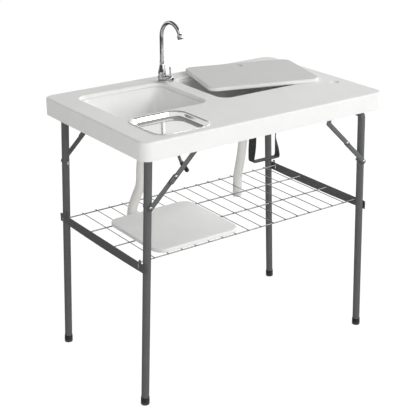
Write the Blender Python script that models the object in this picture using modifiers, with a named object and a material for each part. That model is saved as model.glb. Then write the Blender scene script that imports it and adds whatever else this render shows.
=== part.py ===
# Folding cleaning table with two sinks, a swan-neck tap, a wire shelf and braced folding legs.
# Metres, +Z up. The origin is on the floor under the middle of the table, +X runs along it to
# the right and -Y points to the front.

import math

import bmesh
import bpy
from mathutils import Matrix, Vector


# The sizes that drive the table

TABLE_LENGTH = 1.014
TABLE_DEPTH = 0.654
TABLE_HEIGHT = 0.950
SKIRT_DROP = 0.063
SKIRT_WALL = 0.009
DECK = 0.018
TOP_CORNER = 0.038
TOP_EDGE = 0.005
GAP = 0.0003

# Sinks: they keep these margins from the top's edges, and the right one takes what is left
LEFT_MARGIN = 0.0845
RIGHT_MARGIN = 0.0935
REAR_MARGIN = 0.078
FRONT_MARGIN = 0.258
SINK_WEB = 0.056
LEFT_SINK_LENGTH = 0.350
SINK_CORNER = 0.040
LID_SEAT = 0.012
BASIN_DEPTH = 0.140
BASIN_WALL = 0.003
BASIN_TAPER = 0.030
BASIN_FLANGE = 0.008
DRAIN_RADIUS = 0.0205

# Legs: inverted U frames that turn on their own top tube, inset from the top's edges
TUBE = 0.0135
TUBE_WALL = 0.0015
LEG_INSET_Y = 0.058
FOOT_INSET_X = 0.0172
LEG_SPLAY = 0.039
LEFT_HINGE_DROP = 0.0555
RIGHT_HINGE_DROP = 0.0870
FRAME_BEND = 0.0145
HINGE_BLOCK_INSET = 0.099
HINGE_BLOCK_LENGTH = 0.050
HINGE_BLOCK_WIDTH = 0.028
FOOT_RADIUS = 0.015
FOOT_HEIGHT = 0.026
FOOT_SOLE = 0.004

# Braces: two flat links with a knee, outside the legs
BRACE_REACH = 0.180
LINK_THICKNESS = 0.003
LOWER_LINK_WIDTH = 0.0175
UPPER_LINK_WIDTH = 0.0175
LINK_OFFSET = 0.0032
LINK_SPACE = 0.0019
KNEE_TAIL = {"left": 0.029, "right": 0.0150}
PIN = 0.003
BRACE_BOLT = 0.004

# Shelf
SHELF_Z = 0.514
LONG_WIRE = 0.00225
CROSS_WIRE = 0.0015
LONG_WIRE_INSET = 0.034
CROSS_COUNT = 16
CROSS_MARGIN = 0.0641
CROSS_INSET = 0.026
BAR_THICKNESS = 0.002
BAR_HEIGHT = 0.028
BAR_DROP = 0.0035
BAR_BOW = 0.0035
BAR_Z = 0.507
PEG = 0.003
PEG_TIP = 0.001

# Loose and fitted things
LID_CLEARANCE = (0.002, 0.006)
LID_THICKNESS = 0.0155
LID_SHIFT = (0.0465, 0.019)
LID_TURN = math.radians(-16.6)
FINGER_HOLE = 0.0125
FINGER_INSET = 0.0401
BOARD_SIZE = (0.346, 0.330, 0.014)
BOARD_INSET = (0.2608, 0.159)
TRAY_SIZE = (0.217, 0.211)
TRAY_INSET = (0.1855, 0.1355)
TRAY_DEPTH = 0.0165
TRAY_RIM = 0.007
SHEET = 0.0008
DIMPLE_INSET = (0.060, 0.197)

# Tap
TAP_SHIFT = 0.0165
TAP_INSET = 0.0815
SPOUT = 0.0070
SPRING_Z = 0.165
ARCH = 0.062
ARCH_SWEEP = math.radians(150)
SHANK = 0.010
SHANK_LENGTH = 0.040
VALVE_TURN = math.radians(-75)
VALVE_Z = 0.0165

# Soft tubes and the strap
DRAIN_HOSE = 0.0175
INLET_HOSE = 0.006
STRAP_WIDTH = 0.025
STRAP_THICKNESS = 0.002
STRAP_INSET = 0.028
HOSE_BELOW_SHELF = {"left": 0.034, "right": 0.048}
# where each drain hose runs: sideways, backwards, share of its drop
HOSE_WAY = {"left": ((0, 0, 0.03), (-0.0045, 0.0045, 0.15), (-0.0075, 0.0070, 0.30),
                     (-0.0080, 0.0085, 0.42), (-0.0100, 0.0150, 0.52), (-0.0155, 0.0280, 0.63),
                     (-0.0270, 0.0370, 0.78), (-0.0320, 0.0397, 0.92), (-0.0325, 0.0400, 1)),
            "right": ((0, 0, 0.03), (0, 0.001, 0.12), (0.0040, 0.014, 0.34), (0.0140, 0.040, 0.56),
                      (0.0215, 0.060, 0.72), (0.0230, 0.064, 0.86), (0.0230, 0.064, 1))}


# Sizes that follow from them

HALF_LENGTH = TABLE_LENGTH / 2
HALF_DEPTH = TABLE_DEPTH / 2
SINK_WIDTH = TABLE_DEPTH - REAR_MARGIN - FRONT_MARGIN
SINK_Y = HALF_DEPTH - REAR_MARGIN - SINK_WIDTH / 2
SINK_WEB_X = -HALF_LENGTH + LEFT_MARGIN + LEFT_SINK_LENGTH + SINK_WEB / 2
RIGHT_SINK_LENGTH = HALF_LENGTH - RIGHT_MARGIN - SINK_WEB_X - SINK_WEB / 2
LEG_Y = HALF_DEPTH - LEG_INSET_Y
FOOT_X = HALF_LENGTH - FOOT_INSET_X
HINGE_BLOCK_Y = LEG_Y - HINGE_BLOCK_INSET
LONG_WIRE_Y = ((LEG_Y - LONG_WIRE_INSET) / 3, LEG_Y - LONG_WIRE_INSET)
CROSS_REACH = LEG_Y - CROSS_INSET
STRAP_Y = -HALF_DEPTH + STRAP_INSET
DECK_UNDER = TABLE_HEIGHT - DECK
SKIRT_BOTTOM = TABLE_HEIGHT - SKIRT_DROP
SPLAY_ANGLE = math.atan(LEG_SPLAY)
LINK_Y = LEG_Y + TUBE + LINK_OFFSET
UPPER_Y = LINK_Y + LINK_THICKNESS + LINK_SPACE
BRACKET_Y = UPPER_Y + LINK_THICKNESS + 2 * GAP
LINK_LENGTH = BRACE_REACH * math.sin(math.pi / 4 + SPLAY_ANGLE / 2)
BRACE_ANGLE = math.pi / 4 - SPLAY_ANGLE / 2
LEFT_SINK_X = SINK_WEB_X - SINK_WEB / 2 - LEFT_SINK_LENGTH / 2
RIGHT_SINK_X = SINK_WEB_X + SINK_WEB / 2 + RIGHT_SINK_LENGTH / 2
SINKS = {"left": (LEFT_SINK_X, LEFT_SINK_LENGTH), "right": (RIGHT_SINK_X, RIGHT_SINK_LENGTH)}
SIDES = {"left": -1, "right": 1}
ENDS = {"front": -1, "rear": 1}
HINGE_DROPS = {"left": LEFT_HINGE_DROP, "right": RIGHT_HINGE_DROP}
LID_SIZE = (RIGHT_SINK_LENGTH - LID_CLEARANCE[0], SINK_WIDTH - LID_CLEARANCE[1], LID_THICKNESS)
LID_PLACE = (RIGHT_SINK_X + LID_SHIFT[0], SINK_Y + LID_SHIFT[1])
BOARD_PLACE = (-FOOT_X + BOARD_INSET[0], SINK_Y - BOARD_INSET[1])
TRAY_PLACE = (-HALF_LENGTH + TRAY_INSET[0], -HALF_DEPTH + TRAY_INSET[1])
DIMPLE_PLACE = (HALF_LENGTH - DIMPLE_INSET[0], -HALF_DEPTH + DIMPLE_INSET[1])
TAP_PLACE = (SINK_WEB_X - TAP_SHIFT, HALF_DEPTH - TAP_INSET)


def hinge_point(side):
    # the axis of a leg frame's top tube, where it crosses the middle plane
    z = TABLE_HEIGHT - HINGE_DROPS[side]
    return Vector((SIDES[side] * (FOOT_X - LEG_SPLAY * z), 0, z))


def leg_direction(side):
    # unit vector down a leg
    return Vector((SIDES[side] * LEG_SPLAY, 0, -1)).normalized()


def bore(radius, sides):
    # a faceted hole that clears a shaft of this radius all round
    return (radius + GAP) / math.cos(math.pi / sides)


def bar_inner_x():
    # the end bars lie flat against the legs' outer sides
    low = BAR_Z - BAR_HEIGHT / 2
    return FOOT_X - LEG_SPLAY * low + TUBE / math.cos(SPLAY_ANGLE) + GAP


# Start from an empty file

for old in list(bpy.data.objects):
    bpy.data.objects.remove(old, do_unlink=True)
parts = bpy.context.scene.collection
cutters = bpy.data.collections.new("cutters")
parts.children.link(cutters)


# Materials

def make_material(name, colour, metallic, roughness):
    made = bpy.data.materials.new(name)
    made.use_nodes = True
    shader = made.node_tree.nodes["Principled BSDF"]
    shader.inputs["Base Color"].default_value = (*colour, 1)
    shader.inputs["Metallic"].default_value = metallic
    shader.inputs["Roughness"].default_value = roughness
    made.diffuse_color = (*colour, 1)
    return made


TOP_PLASTIC = make_material("top_plastic", (0.80, 0.80, 0.78), 0, 0.45)
LEG_PAINT = make_material("leg_paint", (0.13, 0.13, 0.13), 0.2, 0.45)
BAR_PAINT = make_material("bar_paint", (0.06, 0.06, 0.06), 0.2, 0.5)
ZINC = make_material("zinc", (0.62, 0.62, 0.60), 1, 0.35)
CHROME = make_material("chrome", (0.85, 0.85, 0.86), 1, 0.08)
TRAY_STEEL = make_material("tray_steel", (0.72, 0.72, 0.72), 1, 0.22)
BLACK_PLASTIC = make_material("black_plastic", (0.02, 0.02, 0.02), 0, 0.5)
HOSE_PLASTIC = make_material("hose_plastic", (0.82, 0.82, 0.79), 0, 0.4)
BRAID = make_material("braid", (0.45, 0.45, 0.46), 0.6, 0.4)
WEBBING = make_material("webbing", (0.02, 0.02, 0.02), 0, 0.8)


# Modelling tools

def add_object(name, data, material, home=None):
    made = bpy.data.objects.new(name, data)
    (home or parts).objects.link(made)
    if material:
        data.materials.append(material)
    return made


def from_bmesh(name, shape, material, home=None):
    bmesh.ops.recalc_face_normals(shape, faces=shape.faces[:])
    data = bpy.data.meshes.new(name)
    shape.to_mesh(data)
    shape.free()
    return add_object(name, data, material, home)


def loft(name, rings, material, closed=False, home=None):
    # bridges rings of equal count; a closed loft joins the last ring to the first
    shape = bmesh.new()
    made = []
    for ring in rings:
        made.append([shape.verts.new(point) for point in ring])
    pairs = list(zip(made, made[1:]))
    if closed:
        pairs.append((made[-1], made[0]))
    count = len(rings[0])
    for one, two in pairs:
        for i in range(count):
            j = (i + 1) % count
            shape.faces.new((one[i], one[j], two[j], two[i]))
    if not closed:
        shape.faces.new(list(reversed(made[0])))
        shape.faces.new(made[-1])
    return from_bmesh(name, shape, material, home)


def outline(centre, length, width, corner, steps=5):
    # a rounded rectangle, anticlockwise from the right side's lower corner
    points = []
    for quarter, (sx, sy) in enumerate(((1, -1), (1, 1), (-1, 1), (-1, -1))):
        x = centre[0] + sx * (length / 2 - corner)
        y = centre[1] + sy * (width / 2 - corner)
        for step in range(steps + 1):
            angle = math.radians(-90 + 90 * quarter + 90 * step / steps)
            points.append((x + corner * math.cos(angle), y + corner * math.sin(angle)))
    return points


def circle_like(points, centre, radius):
    # a circle whose points match an outline's points one by one
    count = len(points)
    start = math.radians(-90 + 45)
    out = []
    for i in range(count):
        angle = start + 2 * math.pi * (i - 2.5) / count
        out.append((centre[0] + radius * math.cos(angle), centre[1] + radius * math.sin(angle)))
    return out


def lift(points, z):
    return [Vector((x, y, z)) for x, y in points]


def slab(name, points, low, high, material, home=None):
    return loft(name, [lift(points, low), lift(points, high)], material, home=home)


def box(name, low, high, material, home=None):
    corners = [(low[0], low[1]), (high[0], low[1]), (high[0], high[1]), (low[0], high[1])]
    return slab(name, corners, low[2], high[2], material, home)


def ring_around(centre, axis, radius, sides, start=0.0):
    axis = axis.normalized()
    helper = Vector((0, 0, 1)) if abs(axis.z) < 0.9 else Vector((1, 0, 0))
    across = axis.cross(helper).normalized()
    other = axis.cross(across)
    out = []
    for i in range(sides):
        angle = start + 2 * math.pi * i / sides
        out.append(centre + across * radius * math.cos(angle) + other * radius * math.sin(angle))
    return out


def rod(name, start, end, radius, material, sides=16, home=None):
    start, end = Vector(start), Vector(end)
    axis = end - start
    rings = [ring_around(start, axis, radius, sides), ring_around(end, axis, radius, sides)]
    return loft(name, rings, material, home=home)


def lathe(name, profile, place, material, steps=16, axis=(0, 0, 1), home=None):
    # profile points are (radius, height), outer side from top to bottom
    shape = bmesh.new()
    points = [shape.verts.new((r, 0, h)) for r, h in profile]
    for one, two in zip(points, points[1:]):
        shape.edges.new((one, two))
    data = bpy.data.meshes.new(name)
    shape.to_mesh(data)
    shape.free()
    made = add_object(name, data, material, home)
    made.location = place
    made.rotation_euler = Vector((0, 0, 1)).rotation_difference(Vector(axis)).to_euler()
    turn = made.modifiers.new("turn", "SCREW")
    turn.axis = "Z"
    turn.angle = 2 * math.pi
    turn.steps = steps
    turn.render_steps = steps
    turn.use_merge_vertices = True
    turn.merge_threshold = 0.00002
    turn.use_smooth_shade = False
    return made


def round_edges(made, width, segments=2, angle=40):
    bevel = made.modifiers.new("rounded", "BEVEL")
    bevel.width = width
    bevel.segments = segments
    bevel.limit_method = "ANGLE"
    bevel.angle_limit = math.radians(angle)
    return made


def combine(made, tool, operation="DIFFERENCE"):
    tool.hide_render = True
    tool.display_type = "WIRE"
    change = made.modifiers.new("cut", "BOOLEAN")
    change.operation = operation
    change.solver = "EXACT"
    change.object = tool
    return made


def soft_tube(name, points, radius, material, resolution=3):
    curve = bpy.data.curves.new(name, "CURVE")
    curve.dimensions = "3D"
    curve.bevel_depth = radius
    curve.bevel_resolution = resolution
    curve.use_fill_caps = True
    spline = curve.splines.new("POLY")
    spline.points.add(len(points) - 1)
    for slot, point in zip(spline.points, points):
        slot.co = (*point, 1)
    return add_object(name, curve, material)


def smooth_route(points, pieces):
    # a smooth curve through the route points, cut into equal pieces per span
    route = [Vector(p) for p in points]
    ends = [route[0] * 2 - route[1]] + route + [route[-1] * 2 - route[-2]]
    out = []
    for i in range(1, len(ends) - 2):
        a, b, c, d = ends[i - 1:i + 3]
        for step in range(pieces):
            t = step / pieces
            out.append(0.5 * (2 * b + (c - a) * t + (2 * a - 5 * b + 4 * c - d) * t * t
                              + (3 * b - a - 3 * c + d) * t ** 3))
    out.append(route[-1])
    return out


def axis_empty(name, point):
    # an empty on a joint's axis, which the pieces of that body hang on
    made = bpy.data.objects.new(name, None)
    parts.objects.link(made)
    made.location = point
    return made


def hang(pieces, empty):
    bpy.context.view_layer.update()
    for piece in pieces:
        piece.parent = empty
        piece.matrix_parent_inverse = empty.matrix_world.inverted()


# The moulded top: a rounded shell with a flat deck, open below

def make_top():
    top = slab("table_top", outline((0, 0), TABLE_LENGTH, TABLE_DEPTH, TOP_CORNER, 6),
               SKIRT_BOTTOM, TABLE_HEIGHT, TOP_PLASTIC)
    round_edges(top, TOP_EDGE, 2)
    wall = 2 * SKIRT_WALL
    hollow = outline((0, 0), TABLE_LENGTH - wall, TABLE_DEPTH - wall, TOP_CORNER - SKIRT_WALL, 6)
    combine(top, slab("cut_hollow", hollow, SKIRT_BOTTOM - 0.05, DECK_UNDER, None, cutters))
    for side, (x, length) in SINKS.items():
        seat = outline((x, SINK_Y), length, SINK_WIDTH, SINK_CORNER)
        hole = outline((x, SINK_Y), length - 2 * LID_SEAT, SINK_WIDTH - 2 * LID_SEAT,
                       SINK_CORNER - LID_SEAT)
        combine(top, slab("cut_" + side + "_seat", seat, TABLE_HEIGHT - LID_SEAT,
                          TABLE_HEIGHT + 0.05, None, cutters))
        combine(top, slab("cut_" + side + "_hole", hole, DECK_UNDER - 0.05,
                          TABLE_HEIGHT + 0.05, None, cutters))
    inset = 2 * TRAY_RIM - 2 * SHEET - 0.0012
    tray_hole = outline(TRAY_PLACE, TRAY_SIZE[0] - inset, TRAY_SIZE[1] - inset, 0.0445)
    combine(top, slab("cut_tray", tray_hole, DECK_UNDER - 0.05, TABLE_HEIGHT + 0.05, None, cutters))
    shank = rod("cut_shank", (*TAP_PLACE, DECK_UNDER - 0.05), (*TAP_PLACE, TABLE_HEIGHT + 0.05),
                bore(SHANK, 16), None, 16, cutters)
    combine(top, shank)
    # the shallow dimple by the right end is a slice of a ball
    ball_radius = 0.034
    ball = lathe("cut_dimple", [(ball_radius * math.sin(math.pi * i / 12),
                                 ball_radius * math.cos(math.pi * i / 12)) for i in range(13)],
                 (*DIMPLE_PLACE, TABLE_HEIGHT + ball_radius - 0.0045), None, 16, home=cutters)
    combine(top, ball)
    for x in strap_screw_places():
        combine(top, rod("cut_strap_screw", (x, STRAP_Y, DECK_UNDER - 0.01),
                         (x, STRAP_Y, DECK_UNDER + 0.012), 0.0025, None, 8, cutters))
    return top


# A basin is one closed loft: down the inside, across the drain and up the outside

def make_basin(side):
    x, full = SINKS[side]
    length = full - 2 * LID_SEAT
    width = SINK_WIDTH - 2 * LID_SEAT
    corner = SINK_CORNER - LID_SEAT
    top = DECK_UNDER - GAP
    bottom = TABLE_HEIGHT - BASIN_DEPTH
    wall = BASIN_WALL

    def ring(inset, z):
        round_corner = max(corner - inset * 0.15, 0.012)
        return lift(outline((x, SINK_Y), length - 2 * inset, width - 2 * inset, round_corner), z)

    def round_ring(radius, z):
        return lift(circle_like(outline((x, SINK_Y), length, width, corner), (x, SINK_Y), radius), z)

    taper = BASIN_TAPER
    floor = bottom - 0.004
    rings = [ring(0, top), ring(taper * 0.8, bottom + 0.022), ring(taper, bottom + 0.008),
             ring(taper + 0.012, bottom), round_ring(DRAIN_RADIUS + 0.016, floor),
             round_ring(DRAIN_RADIUS, floor), round_ring(DRAIN_RADIUS, floor - wall),
             round_ring(DRAIN_RADIUS + 0.016, floor - wall),
             ring(taper + 0.011, bottom - wall), ring(taper - 0.0025, bottom + 0.006),
             ring(taper * 0.8 - wall, bottom + 0.021), ring(-wall * 0.9, top - wall),
             ring(-BASIN_FLANGE, top - wall), ring(-BASIN_FLANGE, top)]
    return loft(side + "_sink", rings, TOP_PLASTIC, closed=True)


# Drain fitting: flange on the sink floor, strainer plate, tail and coupling ring

def drain_floor():
    return TABLE_HEIGHT - BASIN_DEPTH - 0.004


def make_drain(side):
    x = SINKS[side][0]
    z = drain_floor()
    tail = DRAIN_RADIUS - 0.002
    bore = tail - 0.0025
    profile = [(0, 0.0010), (bore, 0.0010), (bore + 0.001, 0.0025), (tail + 0.011, 0.0025),
               (tail + 0.012, GAP), (tail, GAP), (tail, -0.0170), (tail + 0.006, -0.0170),
               (tail + 0.006, -0.0340), (bore, -0.0340), (bore, -0.0020), (0, -0.0020)]
    drain = lathe(side + "_drain", profile, (x, SINK_Y, z), ZINC, 16)
    for i in range(7):
        reach = 0 if i == 0 else 0.0095
        angle = math.pi * i / 3
        spot = (x + reach * math.cos(angle), SINK_Y + reach * math.sin(angle))
        combine(drain, rod("cut_strainer", (*spot, z - 0.01), (*spot, z + 0.01), 0.0028,
                           None, 8, cutters))
    return drain


def make_drain_hoses():
    made = []
    start = drain_floor() - 0.034 - GAP
    for side, way in HOSE_WAY.items():
        x = SINKS[side][0]
        drop = start - (SHELF_Z - HOSE_BELOW_SHELF[side])
        route = [(x + right, SINK_Y + back, start - share * drop) for right, back, share in way]
        points = [Vector((x, SINK_Y, start))] + smooth_route(route, 3)
        made.append(soft_tube(side + "_drain_hose", points, DRAIN_HOSE, HOSE_PLASTIC, 4))
    return made


# Hinge blocks hold the top tubes of the leg frames under the deck

def make_hinge_block(side, end):
    hinge = hinge_point(side)
    y = ENDS[end] * HINGE_BLOCK_Y
    half = HINGE_BLOCK_WIDTH / 2
    reach = HINGE_BLOCK_LENGTH / 2
    block = box(side + "_" + end + "_hinge_block",
                (hinge.x - reach, y - half, hinge.z - TUBE - 0.006),
                (hinge.x + reach, y + half, DECK_UNDER - GAP), BLACK_PLASTIC)
    round_edges(block, 0.002, 1)
    combine(block, rod("cut_bore", (hinge.x, y - 0.05, hinge.z), (hinge.x, y + 0.05, hinge.z),
                       bore(TUBE, 16), None, 16, cutters))
    return block


# Leg frames: a hollow tube bent into an inverted U

def frame_path(side):
    # the tube's centre line and its tangents, in order from the front foot to the rear foot
    hinge = hinge_point(side)
    down = leg_direction(side)
    sideways = Vector((0, 1, 0))
    length = leg_length(side) - FOOT_SOLE - GAP
    bend = FRAME_BEND
    path = [(hinge - sideways * LEG_Y + down * length, -down)]
    for front in (True, False):
        sign = -1 if front else 1
        centre = hinge + sideways * sign * (LEG_Y - bend) + down * bend
        for step in range(6):
            angle = math.radians(18 * step)
            if not front:
                angle = math.pi / 2 - angle
            out = sideways * sign * math.cos(angle) - down * math.sin(angle)
            along = (-down * math.cos(angle) - sideways * sign * math.sin(angle)) * -sign
            path.append((centre + out * bend, along))
    path.append((hinge + sideways * LEG_Y + down * length, down))
    return path


def leg_length(side):
    return hinge_point(side).z / math.cos(SPLAY_ANGLE)


def make_leg_frame(side):
    down = leg_direction(side)
    flat = Vector((0, 1, 0)).cross(down).normalized()
    outer, inner = [], []
    sides = 16
    for centre, along in frame_path(side):
        other = along.cross(flat).normalized()
        for radius, rings in ((TUBE, outer), (TUBE - TUBE_WALL, inner)):
            rings.append([centre + flat * radius * math.cos(2 * math.pi * (i + 0.5) / sides)
                          + other * radius * math.sin(2 * math.pi * (i + 0.5) / sides)
                          for i in range(sides)])
    frame = loft(side + "_leg_frame", outer + inner[::-1], LEG_PAINT, closed=True)
    pivot = leg_pivot(side)
    for sign in ENDS.values():
        y = sign * LEG_Y
        combine(frame, rod("cut_bolt", (pivot.x, y - 0.05, pivot.z), (pivot.x, y + 0.05, pivot.z),
                           bore(BRACE_BOLT, 12), None, 12, cutters))
        x = FOOT_X - LEG_SPLAY * BAR_Z + TUBE - TUBE_WALL * 0.7
        start = (SIDES[side] * x, y, BAR_Z)
        finish = (SIDES[side] * (bar_inner_x() + BAR_THICKNESS + PEG_TIP), y, BAR_Z)
        combine(frame, rod("join_peg", start, finish, PEG, None, 10, cutters), "UNION")
    return frame


def make_foot(side, end):
    # a cup over the tube's end; its sole is cut level with the floor
    down = leg_direction(side)
    floor_point = hinge_point(side) + down * leg_length(side)
    floor_point.y = ENDS[end] * LEG_Y
    sole = []
    for point in ring_around(floor_point, down, FOOT_RADIUS, 16):
        sole.append(point - down * (point.z / down.z))
    rim = ring_around(floor_point - down * FOOT_HEIGHT, down, FOOT_RADIUS, 16)
    mouth = ring_around(floor_point - down * FOOT_HEIGHT, down, bore(TUBE, 16), 16)
    seat = ring_around(floor_point - down * FOOT_SOLE, down, bore(TUBE, 16), 16)
    return loft(side + "_" + end + "_foot", [sole, rim, mouth, seat], BLACK_PLASTIC)


# Braces

def leg_pivot(side):
    return hinge_point(side) + leg_direction(side) * BRACE_REACH


def brace_anchor(side):
    return hinge_point(side) - Vector((SIDES[side] * BRACE_REACH, 0, 0))


def knee_point(side):
    return (leg_pivot(side) + brace_anchor(side)) / 2


def flat_link(name, start, finish, tails, width, near, far, sign, material):
    # a flat bar with round ends, in the plane of the fold; tails run past the two centres
    along = (finish - start).normalized()
    across = Vector((-along.z, 0, along.x))
    half = width / 2
    length = (finish - start).length
    points = []
    for centre, turn in ((length + tails[1] - half, -90), (half - tails[0], 90)):
        for step in range(7):
            angle = math.radians(turn + 30 * step)
            points.append(start + along * (centre + half * math.cos(angle))
                          + across * half * math.sin(angle))
    rings = []
    for y in (near * sign, far * sign):
        rings.append([Vector((p.x, y, p.z)) for p in points])
    return loft(name, rings, material)


def pierce(link, point, radius, sides=10):
    tool = rod("cut_pin", (point.x, -0.4, point.z), (point.x, 0.4, point.z), radius,
               None, sides, cutters)
    return combine(link, tool)


def make_brace(side, end):
    sign = ENDS[end]
    name = side + "_" + end
    pivot, knee, anchor = leg_pivot(side), knee_point(side), brace_anchor(side)
    tail = KNEE_TAIL[side]
    lower = flat_link(name + "_lower_link", pivot, knee, (LOWER_LINK_WIDTH / 2, 0.0090),
                      LOWER_LINK_WIDTH, LINK_Y, LINK_Y + LINK_THICKNESS, sign, LEG_PAINT)
    pierce(lower, pivot, bore(BRACE_BOLT, 12), 12)
    pierce(lower, knee, bore(PIN, 10))
    upper = flat_link(name + "_upper_link", anchor, knee, (UPPER_LINK_WIDTH / 2, tail),
                      UPPER_LINK_WIDTH, UPPER_Y, UPPER_Y + LINK_THICKNESS, sign, LEG_PAINT)
    pierce(upper, anchor, bore(PIN, 12), 12)
    pierce(upper, knee, bore(PIN, 12), 12)
    pierce(upper, knee + (knee - anchor).normalized() * (tail - 0.0055), 0.0019, 8)

    # the bolt has a flat head outside the link, a shoulder that spaces it and a nut inside
    shoulder = LEG_Y + TUBE + GAP
    leg_inside = LEG_Y - TUBE - GAP
    head = LINK_Y + LINK_THICKNESS + GAP
    bolt = lathe(name + "_brace_bolt",
                 [(0, head + 0.0012), (0.0060, head + 0.0012), (0.0070, head),
                  (BRACE_BOLT, head), (BRACE_BOLT, LINK_Y - GAP), (0.0065, LINK_Y - GAP),
                  (0.0065, shoulder), (BRACE_BOLT, shoulder), (BRACE_BOLT, leg_inside),
                  (0.0070, leg_inside), (0.0070, leg_inside - 0.0055), (0, leg_inside - 0.0055)],
                 (pivot.x, 0, pivot.z), ZINC, 12, (0, sign, 0))
    face = UPPER_Y + LINK_THICKNESS + GAP
    rivet = lathe(name + "_knee_rivet",
                  [(0, face + 0.0022), (0.0030, face + 0.0020), (0.0055, face + 0.0008),
                   (0.0060, face), (PIN, face), (PIN, UPPER_Y + 0.0001), (0, UPPER_Y + 0.0001)],
                  (knee.x, 0, knee.z), ZINC, 12, (0, sign, 0))

    # the bracket hangs from the deck outside the links and carries the anchor pin
    sheet = 0.0025
    top = DECK_UNDER - GAP
    points = [(anchor.x + 0.009 * math.cos(math.radians(angle)),
               anchor.z + 0.009 * math.sin(math.radians(angle))) for angle in range(180, 361, 30)]
    points += [(anchor.x + 0.009, top), (anchor.x - 0.009, top)]
    rings = []
    for y in (BRACKET_Y, BRACKET_Y + sheet):
        rings.append([Vector((x, sign * y, z)) for x, z in points])
    bracket = loft(name + "_bracket", rings, LEG_PAINT)
    section = [(BRACKET_Y, top - sheet), (BRACKET_Y + 0.019, top - sheet),
               (BRACKET_Y + 0.019, top), (BRACKET_Y, top)]
    rings = []
    for x in (anchor.x - 0.012, anchor.x + 0.012):
        rings.append([Vector((x, sign * y, z)) for y, z in section])
    combine(bracket, loft("join_flange", rings, None, home=cutters), "UNION")
    pin = rod("join_pin", (anchor.x, sign * (BRACKET_Y + sheet / 2), anchor.z),
              (anchor.x, sign * (UPPER_Y + 0.0001), anchor.z), PIN, None, 10, cutters)
    combine(bracket, pin, "UNION")
    return lower, upper, bolt, rivet


# The wire shelf hangs between two flat end bars that hook over pegs on the legs

def many_rods(name, rods, sides, material, home=None):
    shape = bmesh.new()
    for start, finish, radius in rods:
        start, finish = Vector(start), Vector(finish)
        axis = finish - start
        turn = math.pi / sides
        ends = [[shape.verts.new(p) for p in ring_around(c, axis, radius, sides, turn)]
                for c in (start, finish)]
        for i in range(sides):
            j = (i + 1) % sides
            shape.faces.new((ends[0][i], ends[0][j], ends[1][j], ends[1][i]))
        shape.faces.new(list(reversed(ends[0])))
        shape.faces.new(ends[1])
    return from_bmesh(name, shape, material, home)


def make_shelf():
    reach = bar_inner_x() - GAP
    long_wires = []
    for y in LONG_WIRE_Y:
        for sign in (-1, 1):
            long_wires.append(((-reach, sign * y, SHELF_Z), (reach, sign * y, SHELF_Z), LONG_WIRE))
    pitch = 2 * (reach - CROSS_MARGIN) / (CROSS_COUNT - 1)
    places = [pitch * (i - (CROSS_COUNT - 1) / 2) for i in range(CROSS_COUNT)]
    z = SHELF_Z + LONG_WIRE + CROSS_WIRE - 0.0008
    cross_wires = []
    for x in places:
        cross_wires.append(((x, -CROSS_REACH, z), (x, CROSS_REACH, z), CROSS_WIRE))
    grid = many_rods("shelf_grid", long_wires, 8, ZINC)
    return combine(grid, many_rods("join_cross_wires", cross_wires, 6, None, cutters), "UNION")


def make_end_bar(side):
    x0 = SIDES[side] * bar_inner_x()
    x1 = SIDES[side] * (bar_inner_x() + BAR_THICKNESS)
    low = BAR_Z - BAR_HEIGHT / 2 - BAR_DROP
    high = BAR_Z + BAR_HEIGHT / 2
    end = LEG_Y + TUBE + 0.002
    half = PEG + GAP
    ear_y = LEG_Y - TUBE - 0.0035
    right = [(LEG_Y - half, low), (LEG_Y - half, BAR_Z + half), (LEG_Y + half, BAR_Z + half),
             (LEG_Y + half, low), (end, low), (end, high - 0.004), (end - 0.004, high),
             (ear_y + 0.007, high), (ear_y + 0.0055, high + 0.008), (ear_y + 0.002, high + 0.011),
             (ear_y - 0.002, high + 0.011), (ear_y - 0.0055, high + 0.008), (ear_y - 0.007, high)]
    left = [(-y, z) for y, z in reversed(right)]
    inner = LEG_Y - half
    under = [(inner * share, low - BAR_BOW * (1 - share * share))
             for share in (-0.8, -0.55, -0.28, 0, 0.28, 0.55, 0.8)]
    rings = []
    for x in (x0, x1):
        rings.append([Vector((x, y, z)) for y, z in right + left + under])
    bar = loft(side + "_end_bar", rings, BAR_PAINT)
    for sign in (-1, 1):
        combine(bar, rod("cut_ear", (x0 - 0.01, sign * ear_y, high + 0.003),
                         (x0 + 0.01, sign * ear_y, high + 0.003), 0.0030, None, 10, cutters))
        middle = sign * (LEG_Y - 0.0276)
        slot = outline((middle, BAR_Z - 0.001), 0.0042, 0.020, 0.0020, 2)
        slot_rings = [[Vector((x, y, z)) for y, z in slot] for x in (x0 - 0.01, x0 + 0.01)]
        combine(bar, loft("cut_slot", slot_rings, None, home=cutters))
    return bar


def make_board():
    low = SHELF_Z + LONG_WIRE + 2 * CROSS_WIRE - 0.0008 + GAP
    board = slab("shelf_board", outline(BOARD_PLACE, BOARD_SIZE[0], BOARD_SIZE[1], 0.028),
                 low, low + BOARD_SIZE[2], TOP_PLASTIC)
    return round_edges(board, 0.002, 2)


# Sink lid lying on the table, and the pressed tray

def make_lid():
    turn = Matrix.Rotation(LID_TURN, 2)
    points = []
    for x, y in outline((0, 0), LID_SIZE[0], LID_SIZE[1], 0.036):
        spot = turn @ Vector((x, y))
        points.append((LID_PLACE[0] + spot.x, LID_PLACE[1] + spot.y))
    low = TABLE_HEIGHT + GAP
    lid = slab("right_lid", points, low, low + LID_SIZE[2], TOP_PLASTIC)
    round_edges(lid, 0.0025, 2)
    hole = turn @ Vector((-0.0033, LID_SIZE[1] / 2 - FINGER_INSET))
    spot = (LID_PLACE[0] + hole.x, LID_PLACE[1] + hole.y)
    return combine(lid, rod("cut_finger", (*spot, low - 0.02), (*spot, low + 0.04),
                            FINGER_HOLE, None, 16, cutters))


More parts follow.
